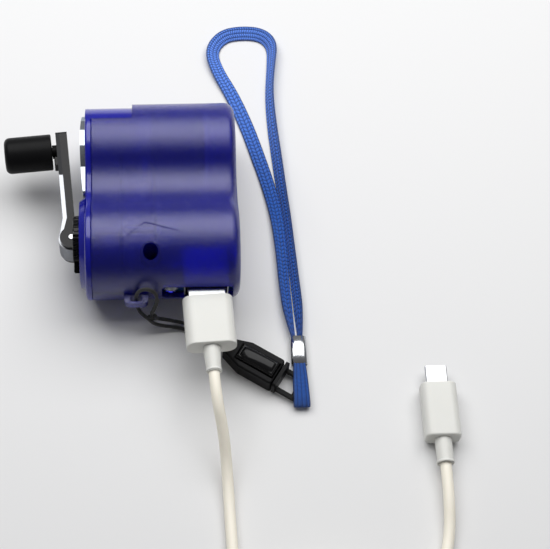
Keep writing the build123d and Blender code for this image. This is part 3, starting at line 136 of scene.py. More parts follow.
def spread(tree, noise, width, middle):
    # noise from 0 to 1 becomes a band of this width round the middle
    return mathNode(tree, "MULTIPLY_ADD", mathNode(tree, "SUBTRACT", noise, 0.5), width, middle)


def startGroup(name, inputs, outputs):
    # inputs and outputs map a socket's name to Float, Vector or Color
    tree = bpy.data.node_groups.new(name, "ShaderNodeTree")
    for direction, sockets in (("INPUT", inputs), ("OUTPUT", outputs)):
        for label, kind in sockets.items():
            tree.interface.new_socket(label, in_out=direction, socket_type="NodeSocket" + kind)
    return tree, tree.nodes.new("NodeGroupInput"), tree.nodes.new("NodeGroupOutput")


def useGroup(tree, group, vector, values):
    node = tree.nodes.new("ShaderNodeGroup")
    node.node_tree = group
    tree.links.new(vector, node.inputs["Vector"])
    for label, value in values.items():
        node.inputs[label].default_value = value
    return node


# scale, detail and roughness of each noise; the fine one's scale comes from the look
lifeNoise = {"fine": (4.0, 0.6), "slow": (60.0, 3.0), "smear": (210.0, 4.0, 0.62), "leastRoughness": 0.03}
scratchNoise = (1.0, 2.0)


def moulded():
    # fine grain height, uneven gloss and slow changes of tone, for every moulded or metal piece
    tree, start, end = startGroup(
        "surfaceLife",
        {"Vector": "Vector", "Grain": "Float", "Color": "Color", "Tone": "Float", "Gloss": "Float",
         "Uneven": "Float"},
        {"Color": "Color", "Roughness": "Float", "Height": "Float"},
    )
    given = start.outputs
    fine = noiseNode(tree, given["Vector"], given["Grain"], *lifeNoise["fine"])
    slow = noiseNode(tree, given["Vector"], *lifeNoise["slow"])
    smear = noiseNode(tree, given["Vector"], *lifeNoise["smear"])
    shade = spread(tree, slow, given["Tone"], 1.0)
    gray = tree.nodes.new("ShaderNodeCombineColor")
    for socket in gray.inputs:
        tree.links.new(shade, socket)
    toned = mixColor(tree, 1.0, given["Color"], gray.outputs[0], "MULTIPLY")
    uneven = spread(tree, smear, given["Uneven"], given["Gloss"])
    tree.links.new(toned, end.inputs["Color"])
    tree.links.new(mathNode(tree, "MAXIMUM", uneven, lifeNoise["leastRoughness"]), end.inputs["Roughness"])
    tree.links.new(fine, end.inputs["Height"])
    return tree


def brushed():
    # long scratches along one axis of the piece
    tree, start, end = startGroup(
        "brushLines", {"Vector": "Vector", "Stretch": "Vector"}, {"Height": "Float"},
    )
    scaled = tree.nodes.new("ShaderNodeVectorMath")
    scaled.operation = "MULTIPLY"
    tree.links.new(start.outputs["Vector"], scaled.inputs[0])
    tree.links.new(start.outputs["Stretch"], scaled.inputs[1])
    tree.links.new(noiseNode(tree, scaled.outputs[0], *scratchNoise), end.inputs["Height"])
    return tree


# a stitch is lit in its middle and dim at its edges
stitchShade = {"lit": 0.95, "dim": 0.2}


def braid():
    # plaited yarn on a piece's own UV: U runs along it, V round or across it
    tree, start, end = startGroup(
        "plaitedYarn",
        {"Vector": "Vector", "Along": "Float", "Across": "Float", "Slant": "Float"},
        {"Height": "Float", "Shade": "Float"},
    )

    def work(operation, *values):
        return mathNode(tree, operation, *values)

    def arch(offset):
        # 1 in the middle of a stitch, 0 at its edges
        return work("SUBTRACT", 1.0, work("MULTIPLY", work("MULTIPLY", offset, offset), 4.0))

    place = splitVector(tree, start.outputs["Vector"])
    column = work("MULTIPLY", place["Y"], start.outputs["Across"])
    inColumn = work("SUBTRACT", work("FRACT", column), 0.5)
    odd = work("FLOORED_MODULO", work("FLOOR", column), 2.0)
    side = work("SUBTRACT", work("MULTIPLY", odd, 2.0), 1.0)
    lean = work("MULTIPLY", work("MULTIPLY", inColumn, side), start.outputs["Slant"])
    stitch = work("ADD", work("MULTIPLY", place["X"], start.outputs["Along"]), lean)
    swing = work("SUBTRACT", work("FRACT", stitch), 0.5)
    height = work("SQRT", work("MAXIMUM", work("MULTIPLY", arch(swing), arch(inColumn)), 0.0))
    shade = work("MULTIPLY_ADD", height, stitchShade["lit"], stitchShade["dim"])
    tree.links.new(height, end.inputs["Height"])
    tree.links.new(shade, end.inputs["Shade"])
    return tree


surfaceLife, brushLines, plaitedYarn = moulded(), brushed(), braid()


def startMaterial(name):
    material = bpy.data.materials.new(name)
    material.use_nodes = True
    tree = material.node_tree
    shader = tree.nodes["Principled BSDF"]
    coordinates = tree.nodes.new("ShaderNodeTexCoord")
    return material, tree, shader, coordinates.outputs


def addBump(tree, shader, height, depth):
    bump = tree.nodes.new("ShaderNodeBump")
    bump.inputs["Distance"].default_value = depth
    tree.links.new(height, bump.inputs["Height"])
    tree.links.new(bump.outputs["Normal"], shader.inputs["Normal"])
    return bump


# what a look has unless it says otherwise, and the shader's sockets that take its values
plainLook = {"grain": 2500.0, "tone": 0.15, "metal": 0.0, "clear": 0.0, "coat": 0.0, "coatRoughness": 0.2,
             "shine": 0.5, "edgeTint": (1, 1, 1)}
shaderSockets = {"Metallic": "metal", "Transmission Weight": "clear", "Coat Weight": "coat",
                 "Coat Roughness": "coatRoughness", "Specular IOR Level": "shine"}
glassIor = 1.5
softInside = {"Subsurface Radius": (1.0, 0.9, 0.8), "Subsurface Scale": 0.0015}
brushShare = 2.0


def mouldedMaterial(name, ownLook):
    look = {**plainLook, **ownLook}
    material, tree, shader, coordinates = startMaterial(name)
    place = coordinates["Object"]
    life = useGroup(tree, surfaceLife, place, {
        "Grain": look["grain"], "Color": (*look["color"], 1), "Tone": look["tone"], "Gloss": look["gloss"],
        "Uneven": look["uneven"],
    })
    color = life.outputs["Color"]
    for socket, key in shaderSockets.items():
        shader.inputs[socket].default_value = look[key]
    shader.inputs["IOR"].default_value = glassIor
    shader.inputs["Specular Tint"].default_value = (*look["edgeTint"], 1)
    if "darkFrom" in look:
        # past this Y the piece is lacquered black
        dark = mathNode(tree, "GREATER_THAN", splitVector(tree, place)["Y"], look["darkFrom"])
        color = mixColor(tree, dark, color, looks["black_gloss"]["color"])
        metal = mathNode(tree, "MULTIPLY_ADD", dark, -look["metal"], look["metal"])
        tree.links.new(metal, shader.inputs["Metallic"])
    tree.links.new(color, shader.inputs["Base Color"])
    tree.links.new(life.outputs["Roughness"], shader.inputs["Roughness"])
    if "soft" in look:
        shader.inputs["Subsurface Weight"].default_value = look["soft"]
        for socket, value in softInside.items():
            shader.inputs[socket].default_value = value
    height = life.outputs["Height"]
    if "brush" in look:
        lines = useGroup(tree, brushLines, place, {"Stretch": look["brush"]})
        deep = mathNode(tree, "MULTIPLY", lines.outputs["Height"], brushShare)
        height = mathNode(tree, "ADD", height, deep)
    bump = addBump(tree, shader, height, look["depth"])
    if look["coat"]:
        tree.links.new(bump.outputs["Normal"], shader.inputs["Coat Normal"])
    return material


# scale and detail of the fuzz and of the worn spots, and how much each counts
yarnNoise = {
    "fuzz": (5200.0, 2.0), "fuzzShare": 0.25, "tint": (240.0, 3.0), "tintShare": 0.5, "sheenRoughness": 0.4,
}


def yarnMaterial(name, look):
    material, tree, shader, coordinates = startMaterial(name)
    place = coordinates["Object"]
    yarn = useGroup(tree, plaitedYarn, coordinates["UV"], {
        "Along": look["along"], "Across": look["across"], "Slant": look["slant"],
    })
    fuzz = noiseNode(tree, place, *yarnNoise["fuzz"])
    tint = noiseNode(tree, place, *yarnNoise["tint"])
    dark = tuple(channel * look["shadow"] for channel in look["color"])
    wear = mathNode(tree, "MULTIPLY", tint, yarnNoise["tintShare"])
    wornAndPaintedLight = mixColor(tree, wear, look["color"], look["light"])
    if "paintedLightColor" in look:
        # painted light: the end that lies further off is painted paler, as if lit more
        depth = splitVector(tree, place)["Y"]
        far = mathNode(tree, "MULTIPLY_ADD", depth, look["paintedLightRate"], look["paintedLightStart"])
        far.node.use_clamp = True
        wornAndPaintedLight = mixColor(tree, far, wornAndPaintedLight, look["paintedLightColor"])
    color = mixColor(tree, yarn.outputs["Shade"], dark, wornAndPaintedLight)
    tree.links.new(color, shader.inputs["Base Color"])
    shader.inputs["Roughness"].default_value = look["rough"]
    shader.inputs["Sheen Weight"].default_value = look["sheen"]
    shader.inputs["Sheen Roughness"].default_value = yarnNoise["sheenRoughness"]
    height = mathNode(tree, "MULTIPLY_ADD", fuzz, yarnNoise["fuzzShare"], yarn.outputs["Height"])
    addBump(tree, shader, height, look["depth"])
    return material


boardLook = {
    "color": (0.01, 0.09, 0.045), "track": (0.02, 0.15, 0.08), "pad": (0.7, 0.7, 0.66),
    "tracks": 260.0, "trackWidth": 0.12, "pads": 420.0, "padWidth": 0.13,
    "padMetal": 0.9, "rough": 0.3, "padRough": 0.1, "depth": 0.00004,
}


def boardMaterial(name, look):
    # green mask over copper tracks, with bare tinned pads
    material, tree, shader, coordinates = startMaterial(name)
    cells = tree.nodes.new("ShaderNodeTexVoronoi")
    cells.distance = "MANHATTAN"
    cells.feature = "DISTANCE_TO_EDGE"
    dots = tree.nodes.new("ShaderNodeTexVoronoi")
    for node, scale in ((cells, look["tracks"]), (dots, look["pads"])):
        node.inputs["Scale"].default_value = scale
        tree.links.new(coordinates["Object"], node.inputs["Vector"])
    track = mathNode(tree, "LESS_THAN", cells.outputs["Distance"], look["trackWidth"])
    pad = mathNode(tree, "LESS_THAN", dots.outputs["Distance"], look["padWidth"])
    masked = mixColor(tree, track, look["color"], look["track"])
    rough = mathNode(tree, "MULTIPLY_ADD", pad, look["padRough"], look["rough"])
    tree.links.new(mixColor(tree, pad, masked, look["pad"]), shader.inputs["Base Color"])
    tree.links.new(mathNode(tree, "MULTIPLY", pad, look["padMetal"]), shader.inputs["Metallic"])
    tree.links.new(rough, shader.inputs["Roughness"])
    addBump(tree, shader, mathNode(tree, "MAXIMUM", track, pad), look["depth"])
    return material


looks = {
    "case_blue": {"color": (0.009, 0.013, 0.52), "clear": 0.8, "gloss": 0.25, "shine": 0.14, "uneven": 0.06,
                  "grain": 2100.0, "depth": 0.00014, "tone": 0.25, "coat": 0.5, "coatRoughness": 0.2},
    "cover_blue": {"color": (0.01, 0.014, 0.5), "clear": 0.55, "gloss": 0.2, "shine": 0.35, "uneven": 0.08,
                   "grain": 3200.0, "depth": 0.00001, "tone": 0.2, "coat": 0.35, "coatRoughness": 0.1},
    "trim_chrome": {"color": (0.42, 0.46, 0.5), "metal": 0.85, "gloss": 0.09, "uneven": 0.05,
                    "grain": 900.0, "depth": 0.000004, "edgeTint": (0.45, 0.5, 0.55)},
    "black_plastic": {"color": (0.006, 0.006, 0.0065), "gloss": 0.4, "uneven": 0.16, "grain": 3000.0,
                      "depth": 0.00002, "tone": 0.5, "shine": 0.08},
    "black_gloss": {"color": (0.006, 0.006, 0.0065), "gloss": 0.13, "uneven": 0.06, "grain": 2400.0,
                    "depth": 0.000003, "tone": 0.4, "shine": 0.2},
    # painted shade: a metal painted dark for the parts that sit inside the case
    "inner_dark": {"color": (0.05, 0.05, 0.056), "metal": 1.0, "gloss": 0.42, "uneven": 0.2,
                   "brush": (500, 3000, 3000), "depth": 0.00001},
    "arm_silver": {"color": (0.34, 0.35, 0.37), "metal": 0.8, "gloss": 0.3, "edgeTint": (0.3, 0.31, 0.33),
                   "darkFrom": 0.026, "uneven": 0.1, "brush": (300, 40, 4000), "depth": 0.000004},
    "steel": {"color": (0.56, 0.57, 0.59), "metal": 1.0, "gloss": 0.3, "uneven": 0.15,
              "brush": (500, 3000, 3000), "depth": 0.000005},
    "screw_steel": {"color": (0.07, 0.07, 0.075), "metal": 1.0, "gloss": 0.4, "uneven": 0.2,
                    "depth": 0.00001},
    "plug_metal": {"color": (0.5, 0.51, 0.53), "metal": 1.0, "gloss": 0.2, "uneven": 0.1,
                   "depth": 0.000004},
    "brass": {"color": (0.75, 0.55, 0.24), "metal": 1.0, "gloss": 0.28, "uneven": 0.15, "depth": 0.00001},
    "copper": {"color": (0.7, 0.26, 0.1), "metal": 1.0, "gloss": 0.3, "uneven": 0.1,
               "brush": (5200, 300, 300), "depth": 0.00008},
    "core_steel": {"color": (0.25, 0.25, 0.26), "metal": 1.0, "gloss": 0.45, "uneven": 0.2,
                   "brush": (4200, 60, 60), "depth": 0.00003},
    "magnet": {"color": (0.07, 0.07, 0.075), "gloss": 0.6, "uneven": 0.2, "depth": 0.00004},
    "gear_white": {"color": (0.8, 0.79, 0.72), "gloss": 0.42, "uneven": 0.1, "soft": 0.1, "depth": 0.00001},
    "chip_black": {"color": (0.02, 0.02, 0.02), "gloss": 0.55, "uneven": 0.15, "depth": 0.00003},
    "capacitor_sleeve": {"color": (0.02, 0.02, 0.06), "gloss": 0.25, "uneven": 0.1, "depth": 0.00001},
    "ferrite": {"color": (0.09, 0.09, 0.09), "gloss": 0.6, "uneven": 0.2, "depth": 0.00005},
    "led_clear": {"color": (0.92, 0.94, 0.96), "clear": 1.0, "gloss": 0.06, "uneven": 0.04,
                  "depth": 0.000004},
    "lead_red": {"color": (0.45, 0.02, 0.02), "gloss": 0.3, "uneven": 0.1, "depth": 0.00001},
    "cable_white": {"color": (0.72, 0.72, 0.68), "gloss": 0.42, "uneven": 0.12, "soft": 0.12,
                    "grain": 1800.0, "depth": 0.00001, "tone": 0.08},
    "cable_cream": {"color": (0.93, 0.88, 0.76), "gloss": 0.46, "uneven": 0.12, "soft": 0.12,
                    "grain": 1400.0, "depth": 0.00001, "tone": 0.1},
    "insert_white": {"color": (0.78, 0.78, 0.76), "gloss": 0.4, "uneven": 0.1, "depth": 0.00001},
    "crimp_metal": {"color": (0.5, 0.51, 0.53), "metal": 1.0, "gloss": 0.16, "uneven": 0.12,
                    "brush": (3000, 60, 3000), "depth": 0.000006},
}
yarns = {
    "strap_blue": {"color": (0.008, 0.09, 0.46), "light": (0.02, 0.15, 0.6), "shadow": 0.25, "along": 104.0,
                   "across": 56.0, "slant": 0.5, "rough": 0.75, "sheen": 0.12, "depth": 0.0005,
                   # painted light: the far end of the strap is painted towards this paler blue
                   "paintedLightColor": (0.12, 0.29, 0.95), "paintedLightRate": 15.0, "paintedLightStart": -0.35},
    "cord_black": {"color": (0.012, 0.012, 0.013), "light": (0.03, 0.03, 0.03), "shadow": 0.3,
                   "along": 60.0, "across": 6.0, "slant": 1.2, "rough": 0.7, "sheen": 0.15,
                   "depth": 0.00012},
}
# nodes whose look is not their slot's; inner_dark is metal painted dark, painted shade for the parts inside
# the case
finerLooks = {
    "gear_plate_left": "inner_dark", "gear_plate_right": "inner_dark", "generator_can": "inner_dark",
    "generator_screws": "inner_dark", "arm_frame": "black_gloss", "crank_hub": "black_gloss",
    "buckle_latch": "black_gloss",
}


def dressNodes():
    materials = {name: mouldedMaterial(name, look) for name, look in looks.items()}
    materials.update({name: yarnMaterial(name, look) for name, look in yarns.items()})
    materials["board_green"] = boardMaterial("board_green", boardLook)
    for part in frame["record"]["subparts"]:
        node = nodes[part["node"]]
        node.data.materials.clear()
        node.data.materials.append(materials[finerLooks.get(part["node"], part["material_slot"])])
    return materials


# places and widths in millimetres, the length in metres
usbCable = {
    "diameter": 3.5, "length": 0.957,
    "near": [(14.114, -43.566, 16.0), (14.532, -51.555, 16.0), (16.6, -61.0, 9.8), (17.4, -70.2, 4.0),
             (17.7, -80.5, 1.8), (18.1, -95.0, 1.8), (18.9, -112.0, 1.8), (18.9, -122.0, 1.8)],
    "far": [(71.3, -122.0, 5.8), (71.3, -117.0, 5.8), (75.5, -108.0, 2.8), (81.5, -101.0, 1.8),
            (84.0, -91.0, 1.9), (84.6, -80.0, 3.9), (84.6, -70.2, 3.9)],
    # wound inwards, over a half turn that climbs onto the first layer, and outwards again
    "coil": {"centre": (45.1, -129.0), "outer": 26.2, "pitch": 4.0, "rise": 4.0, "dip": 1.0, "turns": 3,
             "climb": 0.5, "height": 1.8, "steps": 12},
    "ends": ("plug_shell", "plug_insert", "plug_grip", "plug_relief", "micro_grip", "micro_tip"),
}
cordDiameter = 1.2
cordStrands = {
    "upper": {
        "length": 0.0538,
        "points": [(-9.6, -17.6, 14.5), (-9.6, -17.6, 18.1), (-8.3, -17.5, 21.4), (-5.6, -17.7, 22.4),
                   (-3.4, -18.1, 20.3), (-2.9, -18.9, 16.4), (-3.9, -19.6, 12.4), (-5.0, -19.9, 8.9),
                   (-3.3, -19.7, 5.7), (0.6, -19.2, 3.2), (5.6, -19.6, 1.7), (10.4, -21.9, 1.7),
                   (14.6, -25.6, 2.1), (17.2, -27.36, 2.8), (19.0, -28.53, 2.8)],
    },
    "lower": {
        "length": 0.0384,
        "points": [(-9.6, -17.6, 14.5), (-9.6, -17.6, 11.6), (-8.4, -19.4, 9.2), (-5.6, -21.2, 7.9),
                   (-4.0, -21.4, 4.9), (0.2, -21.1, 2.4), (5.0, -21.2, 1.2), (9.6, -23.3, 1.1),
                   (13.2, -26.4, 1.9), (16.52, -28.48, 2.8), (18.28, -29.62, 2.8)],
    },
}
wristStrap = {
    "width": 4.6, "thickness": 0.7,
    # X, Y, lean (90 lies flat, 0 stands on its edge) and share of the full size
    "left": [(41.2, -30.2, 172, 0.6), (39.4, -18.5, 128, 0.9), (38.7, -6.0, 120, 0.95),
             (38.4, 6.0, 118, 0.95), (37.7, 19.0, 104, 0.96), (35.7, 31.0, 92, 1.04),
             (32.6, 43.2, 90, 1.08), (29.3, 55.5, 90, 1.08), (24.8, 68.5, 92, 1.08),
             (19.8, 79.0, 105, 1.08), (17.9, 87.0, 116, 1.08), (22.2, 93.2, 120, 1.08),
             (28.8, 94.6, 120, 1.08), (32.4, 94.2, 120, 1.08)],
    "right": [(32.4, 94.2, 120, 1.08), (36.0, 93.8, 122, 1.08), (39.9, 89.0, 134, 1.05),
              (38.9, 80.0, 146, 1.0), (37.6, 69.0, 150, 1.0), (37.8, 56.5, 142, 1.0),
              (38.8, 43.0, 138, 1.0), (39.7, 30.5, 138, 0.98), (40.9, 18.5, 142, 0.9),
              (41.6, 6.0, 142, 0.88), (42.3, -6.5, 138, 0.86), (42.9, -18.0, 135, 0.85),
              (42.6, -30.2, 172, 0.6)],
    "leftLength": 0.137, "rightLength": 0.129,
    # Y, Z and share of the full size, all at one X
    "endLoop": [(-33.0, 2.45, 0.7), (-36.6, 2.75, 0.95), (-49.35, 3.1, 1.15), (-49.35, 0.4, 1.15),
                (-36.6, 0.42, 0.95), (-33.0, 0.6, 0.7)],
    "endLoopX": 41.9, "endLoopLean": 90, "endLoopLength": 0.035,
}
curveDetail = {"steps": 12, "order": 3, "flatEdge": 3, "roundEdge": 6, "ringEdge": 4}


def routeCurve(name, points, leans=(), sizes=(), twist="MINIMUM", closed=False):
    data = bpy.data.curves.new(name, "CURVE")
    data.dimensions = "3D"
    data.twist_mode = twist
    data.resolution_u = curveDetail["steps"]
    data.use_fill_caps = not closed
    spline = data.splines.new("NURBS")
    spline.points.add(len(points) - 1)
    for point, place in zip(spline.points, points):
        point.co = (*metres(place), 1)
    for point, lean in zip(spline.points, leans):
        point.tilt = math.radians(lean)
    for point, size in zip(spline.points, sizes):
        point.radius = size
    spline.order_u = curveDetail["order"]
    spline.use_endpoint_u = not closed
    spline.use_cyclic_u = closed
    return linkObject(name, data)


def roundCord(name, points, diameter, material, closed=False):
    cord = routeCurve(name, points, closed=closed)
    cord.data.bevel_depth = diameter / 2 * mm
    cord.data.bevel_resolution = curveDetail["ringEdge" if closed else "roundEdge"]
    cord.data.materials.append(material)
    return cord


def flatStrap(name, points, leans, sizes, material, twist="Z_UP"):
    strap = routeCurve(name, points, leans, sizes, twist)
    edge = wristStrap["thickness"] / 2
    strap.data.extrude = (wristStrap["width"] / 2 - edge) * mm
    strap.data.bevel_depth = edge * mm
    strap.data.bevel_resolution = curveDetail["flatEdge"]
    strap.data.materials.append(material)
    return strap


def coilPoints():
    c = usbCable["coil"]
    layer, climb = c["turns"], c["climb"]
    inner = c["outer"] - c["pitch"] * layer
    grow = 1 / math.cos(math.pi / c["steps"])  # corners stand outside the round line they draw
    points = []
    for n in range(round((2 * layer + climb) * c["steps"])):
        turns = (n + 0.5) / c["steps"]
        angle = math.pi + math.tau * turns
        if turns <= layer:
            radius, height = c["outer"] - c["pitch"] * turns, 0
        elif turns <= layer + climb:
            share = (turns - layer) / climb
            radius = inner - c["dip"] * math.sin(math.pi * share)
            height = c["rise"] * share * share * (3 - 2 * share)
        else:
            radius, height = inner + c["pitch"] * (turns - layer - climb), c["rise"]
        x = c["centre"][0] + radius * grow * math.cos(angle)
        y = c["centre"][1] + radius * grow * math.sin(angle)
        points.append((x, y, c["height"] + height))
    return points


def makeCords(materials):
    points = usbCable["near"] + coilPoints() + usbCable["far"]
    cable = roundCord("usbCable", points, usbCable["diameter"], materials["cable_cream"])
    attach(cable, "usb_cable")
    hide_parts("cable_near", "cable_coil", "cable_far")

    for name, strand in cordStrands.items():
        points = strand["points"]
        cord = roundCord(name + "Strand", points, cordDiameter, materials["cord_black"])
        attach(cord, "case")
        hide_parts("string_" + name)


def declareStrap(strap, replaced):
    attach(strap, "strap")
    if replaced:
        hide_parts(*replaced)


def makeStrap(materials):
    s = wristStrap
    edge = s["thickness"] / 2
    half = s["width"] / 2 - edge
    for name, run, length, replaced in (
        ("strapLeftLeg", s["left"], s["leftLength"], ["wrist_strap"]),
        ("strapRightLeg", s["right"], s["rightLength"], []),
    ):
        # each point stands so high that the leaning strap just rests on the floor
        leans, sizes = [item[2] for item in run], [item[3] for item in run]
        points = [(x, y, edge + half * size * abs(math.cos(math.radians(lean))))
                  for x, y, lean, size in run]
        leg = flatStrap(name, points, leans, sizes, materials["strap_blue"])
        declareStrap(leg, replaced)
    points = [(s["endLoopX"], y, z) for y, z, size in s["endLoop"]]
    leans, sizes = [s["endLoopLean"]] * len(points), [item[2] for item in s["endLoop"]]
    loop = flatStrap("strapEndLoop", points, leans, sizes, materials["strap_blue"], "MINIMUM")
    declareStrap(loop, ["strap_end_loop"])


def meshPiece(name, build, material, body, replaced=()):
    mesh = bpy.data.meshes.new(name)
    shape = bmesh.new()
    build(shape)
    bmesh.ops.recalc_face_normals(shape, faces=shape.faces)
    shape.to_mesh(mesh)
    shape.free()
    mesh.shade_smooth()
    mesh.materials.append(material)
    piece = linkObject(name, mesh)
    if replaced:
        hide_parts(*replaced)
    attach(piece, body)
    return piece


def addBar(shape, centre, size, rounding, turn=Matrix.Identity(3)):
    # a bar with rounded edges, sizes in millimetres
    corners = bmesh.ops.create_cube(shape, size=mm)["verts"]
    for corner in corners:
        corner.co = turn @ Vector(a * b for a, b in zip(corner.co, size)) + Vector(metres(centre))
    edges = list({edge for corner in corners for edge in corner.link_edges})
    bmesh.ops.bevel(shape, geom=edges, offset=rounding * mm, segments=2, profile=0.5, affect="EDGES",
                    material=-1)


def addSpin(shape, profile, centre, axis, steps=40):
    # profile points are (radius, distance along the axis) in millimetres
    along = Vector(axis).normalized()
    out = along.orthogonal().normalized()
    base = Vector(metres(centre))
    spots = [shape.verts.new(base + (out * radius + along * travel) * mm) for radius, travel in profile]
    edges = [shape.edges.new(pair) for pair in zip(spots, spots[1:])]
    bmesh.ops.spin(shape, geom=spots + edges, cent=base, axis=along, angle=math.tau, steps=steps,
                   use_merge=True)


def addRings(shape, rings, close=True):
    # skin over rings of points in millimetres, each ring with the same count
    rows = [[shape.verts.new(metres(point)) for point in ring] for ring in rings]
    for row, after in zip(rows, rows[1:]):
        for n in range(len(row)):
            m = (n + 1) % len(row)
            shape.faces.new((row[n], row[m], after[m], after[n]))
    if close:
        shape.faces.new(rows[0])
        shape.faces.new(rows[-1])


hubRibs = {
    "count": 36, "armHalf": 4.8, "radius": 9.02, "x": -28.2, "centre": (2.0, 16.0),
    "size": (1.7, 0.4, 0.55), "rounding": 0.12,
}


def buildHubRibs(shape):
    r = hubRibs
    for n in range(r["count"]):
        turn = Matrix.Rotation(math.tau * n / r["count"], 3, "X")
        spot = turn @ Vector((0, r["radius"], 0))
        if spot.y < 0 and abs(spot.z) < r["armHalf"]:
            continue  # the folded arm lies here
        centre = (r["x"], r["centre"][0] + spot.y, r["centre"][1] + spot.z)
        addBar(shape, centre, r["size"], r["rounding"], turn)


windowLip = {
    "x": (-1.5, 21.2), "half": 3.6, "corner": 1.2, "axisZ": 16.0, "lobe": 16.2, "proud": 0.06,
    "thick": 0.32, "arc": 5,
}


def windowOutline():
    # a rounded rectangle wrapped round the lobe, corner by corner
    w = windowLip
    left, right = w["x"]
    reach = w["lobe"] + w["proud"] - w["thick"] / 2
    corners = ((right, 1, 1, 0), (left, -1, 1, 90), (left, -1, -1, 180), (right, 1, -1, 270))
    points = []
    for x, side, up, start in corners:
        cx, cz = x - side * w["corner"], up * (w["half"] - w["corner"])
        for n in range(w["arc"] + 1):
            angle = math.radians(start + 90 * n / w["arc"])
            dx, dz = cx + w["corner"] * math.cos(angle), cz + w["corner"] * math.sin(angle)
            points.append((dx, -math.sqrt(reach ** 2 - dz * dz), w["axisZ"] + dz))
    return points


knot = {"place": (-4.5, -20.4, 7.6), "size": 0.4275, "diameter": 1.16, "points": 18}


def knotPoints():
    # the line of an overhand knot
    k = knot
    points = []
    for n in range(k["points"]):
        t = math.tau * n / k["points"]
        x = math.sin(t) + 2 * math.sin(2 * t)
        y = math.cos(t) - 2 * math.cos(2 * t)
        z = -math.sin(3 * t)
        points.append(tuple(a + b * k["size"] for a, b in zip(k["place"], (x, z, y))))
    return points


ledCup = {
    "place": (1.5, -13.6, 16.0), "axis": (0, 1, 0),
    "profile": [(0.1, 1.0), (0.5, 0.9), (1.15, 0.0), (1.3, 0.0), (0.8, 1.2), (0.1, 1.4)],
}
# a squarish tube; the power sets how square it is
crimp = {
    "x": 41.9, "z": 1.54, "half": 2.66, "tall": 1.48, "y": (-35.2, -25.4), "wall": 0.3, "power": 2.7,
    "points": 40, "weld": 0.001,
}


def buildCrimp(shape):
    c = crimp

    def ring(y, inset):
        spots = []
        for n in range(c["points"]):
            angle = math.tau * n / c["points"]
            across, up = math.cos(angle), math.sin(angle)
            across = math.copysign(abs(across) ** (2 / c["power"]), across)
            up = math.copysign(abs(up) ** (2 / c["power"]), up)
            spots.append((c["x"] + (c["half"] - inset) * across, y, c["z"] + (c["tall"] - inset) * up))
        return spots

    low, high = c["y"]
    wall = c["wall"]
    outer = [ring(low, wall / 2), ring(low + wall / 2, 0), ring(high - wall / 2, 0), ring(high, wall / 2)]
    inner = [ring(high - wall / 2, wall), ring(low + wall / 2, wall)]
    addRings(shape, outer + inner + [outer[0]], close=False)
    bmesh.ops.remove_doubles(shape, verts=shape.verts, dist=c["weld"] * mm)


# swell: the least, where on a half wave it starts, how much of the wave it takes, and its power;
# width: the share of the half at no swell, and what a full swell adds
latchArch = {
    "x": (-13.6, -1.9), "half": 2.35, "low": 6.95, "rise": 1.15, "steps": 14, "round": 16,
    "place": (35.0, -39.7, 0.0), "turn": -33,
    "swell": (0.12, 0.06, 0.88, 0.6), "width": (0.7, 0.3),
}


def buildLatchArch(shape):
    a = latchArch
    turn = Matrix.Rotation(math.radians(a["turn"]), 3, "Z")
    start, end = a["x"]
    least, first, taken, power = a["swell"]
    narrow, added = a["width"]
    rings = []
    for n in range(a["steps"] + 1):
        share = n / a["steps"]
        swell = max(least, math.sin(math.pi * (first + taken * share)) ** power)
        half, rise = a["half"] * (narrow + added * swell), a["rise"] * swell
        x = start + (end - start) * share
        ring = []
        for m in range(a["round"] + 1):
            angle = math.pi * m / a["round"]
            spot = Vector((x, half * math.cos(angle), a["low"] + rise * math.sin(angle)))
            ring.append(tuple(turn @ spot + Vector(a["place"])))
        rings.append(ring)
    addRings(shape, rings)


socketContacts = {
    "x": (9.1, 11.6, 13.6, 16.1), "y": -10.1, "z": 15.6, "size": (1.1, 7.0, 0.16), "rounding": 0.05,
}


def buildSocketContacts(shape):
    c = socketContacts
    for x in c["x"]:
        addBar(shape, (x, c["y"], c["z"]), c["size"], c["rounding"])


# inner and outer radius, then place and axis; both have the same length and rounding
collars = {
    "plug": (1.8, 2.5, (14.061, -42.568, 16.0), (0.0523, -0.9986, 0.0)),
    "micro": (2.05, 2.75, (84.6, -69.4, 3.9), (0.0, -1.0, 0.0)),
}
collarLength, collarRounding = 0.8, 0.12


def buildCollar(shape, inner, outer, place, axis):
    rim, end = outer - collarRounding, collarLength - collarRounding
    profile = [(inner, 0), (rim, 0), (outer, collarRounding), (outer, end), (rim, collarLength),
               (inner, collarLength)]
    addSpin(shape, profile, place, axis)


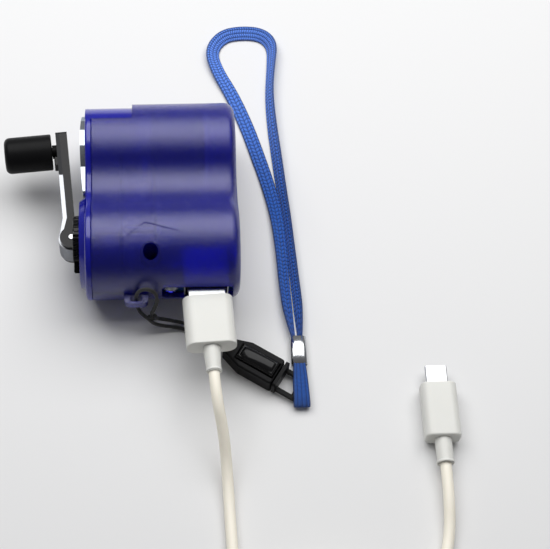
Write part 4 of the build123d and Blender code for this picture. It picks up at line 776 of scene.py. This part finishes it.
def makeDetails(materials):
    def buildCup(shape):
        addSpin(shape, ledCup["profile"], ledCup["place"], ledCup["axis"])

    gloss = materials["black_gloss"]
    made = {}
    meshPiece("hubRibs", buildHubRibs, gloss, "crank")
    meshPiece("ledCup", buildCup, materials["steel"], "case")
    made["strapCrimpTube"] = meshPiece(
        "strapCrimpTube", buildCrimp, materials["crimp_metal"], "strap", ["strap_crimp"],
    )
    made["latchArch"] = meshPiece("latchArch", buildLatchArch, gloss, "latch")
    meshPiece("socketContacts", buildSocketContacts, materials["brass"], "case")
    for which, shares in collars.items():
        name = which + "Collar"
        made[name] = meshPiece(
            name, lambda shape, shares=shares: buildCollar(shape, *shares), materials["cable_white"],
            "usb_cable",
        )
    lip = roundCord("windowLip", windowOutline(), windowLip["thick"], materials["cover_blue"], closed=True)
    tie = roundCord("cordKnot", knotPoints(), knot["diameter"], materials["cord_black"], closed=True)
    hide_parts("string_bead")
    for piece, slot in ((lip, "case_blue"), (tie, "cord_black")):
        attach(piece, "case")
    made["cordKnot"] = tie
    return made


floorSheet = {"side": 3.0, "drop": 0.0001, "color": (0.77, 0.77, 0.77), "rough": 0.75, "shine": 0.2}


def makeFloor():
    mesh = bpy.data.meshes.new("floor")
    shape = bmesh.new()
    bmesh.ops.create_grid(shape, x_segments=1, y_segments=1, size=floorSheet["side"] / 2)
    bmesh.ops.translate(shape, verts=shape.verts, vec=(0, 0, -floorSheet["drop"]))
    shape.to_mesh(mesh)
    shape.free()
    floor = linkObject("floor", mesh)
    material, tree, shader, coordinates = startMaterial("paleTable")
    shader.inputs["Base Color"].default_value = (*floorSheet["color"], 1)
    shader.inputs["Roughness"].default_value = floorSheet["rough"]
    shader.inputs["Specular IOR Level"].default_value = floorSheet["shine"]
    mesh.materials.append(material)


# brighter on the far side, with an even change between the two
studioLight = {"near": (0.09, 0.09, 0.094), "far": (0.27, 0.272, 0.28), "rate": 0.7, "start": 0.5}


def makeWorld():
    world = bpy.data.worlds.new("studio")
    world.use_nodes = True
    tree = world.node_tree
    direction = tree.nodes.new("ShaderNodeTexCoord").outputs["Generated"]
    depth = splitVector(tree, direction)["Y"]
    far = mathNode(tree, "MULTIPLY_ADD", depth, studioLight["rate"], studioLight["start"])
    far.node.use_clamp = True
    color = mixColor(tree, far, studioLight["near"], studioLight["far"])
    tree.links.new(color, tree.nodes["Background"].inputs["Color"])
    bpy.context.scene.world = world


makeCamera()
for lamp in lamps:
    makeLamp(*lamp)
makeWorld()
makeFloor()
print("room ready")
materials = dressNodes()
print("materials ready")
details = makeDetails(materials)
print("details ready")
makeCords(materials)
makeStrap(materials)
print("cords ready")
bpy.context.scene.view_settings.view_transform = "Standard"
bpy.context.view_layer.update()
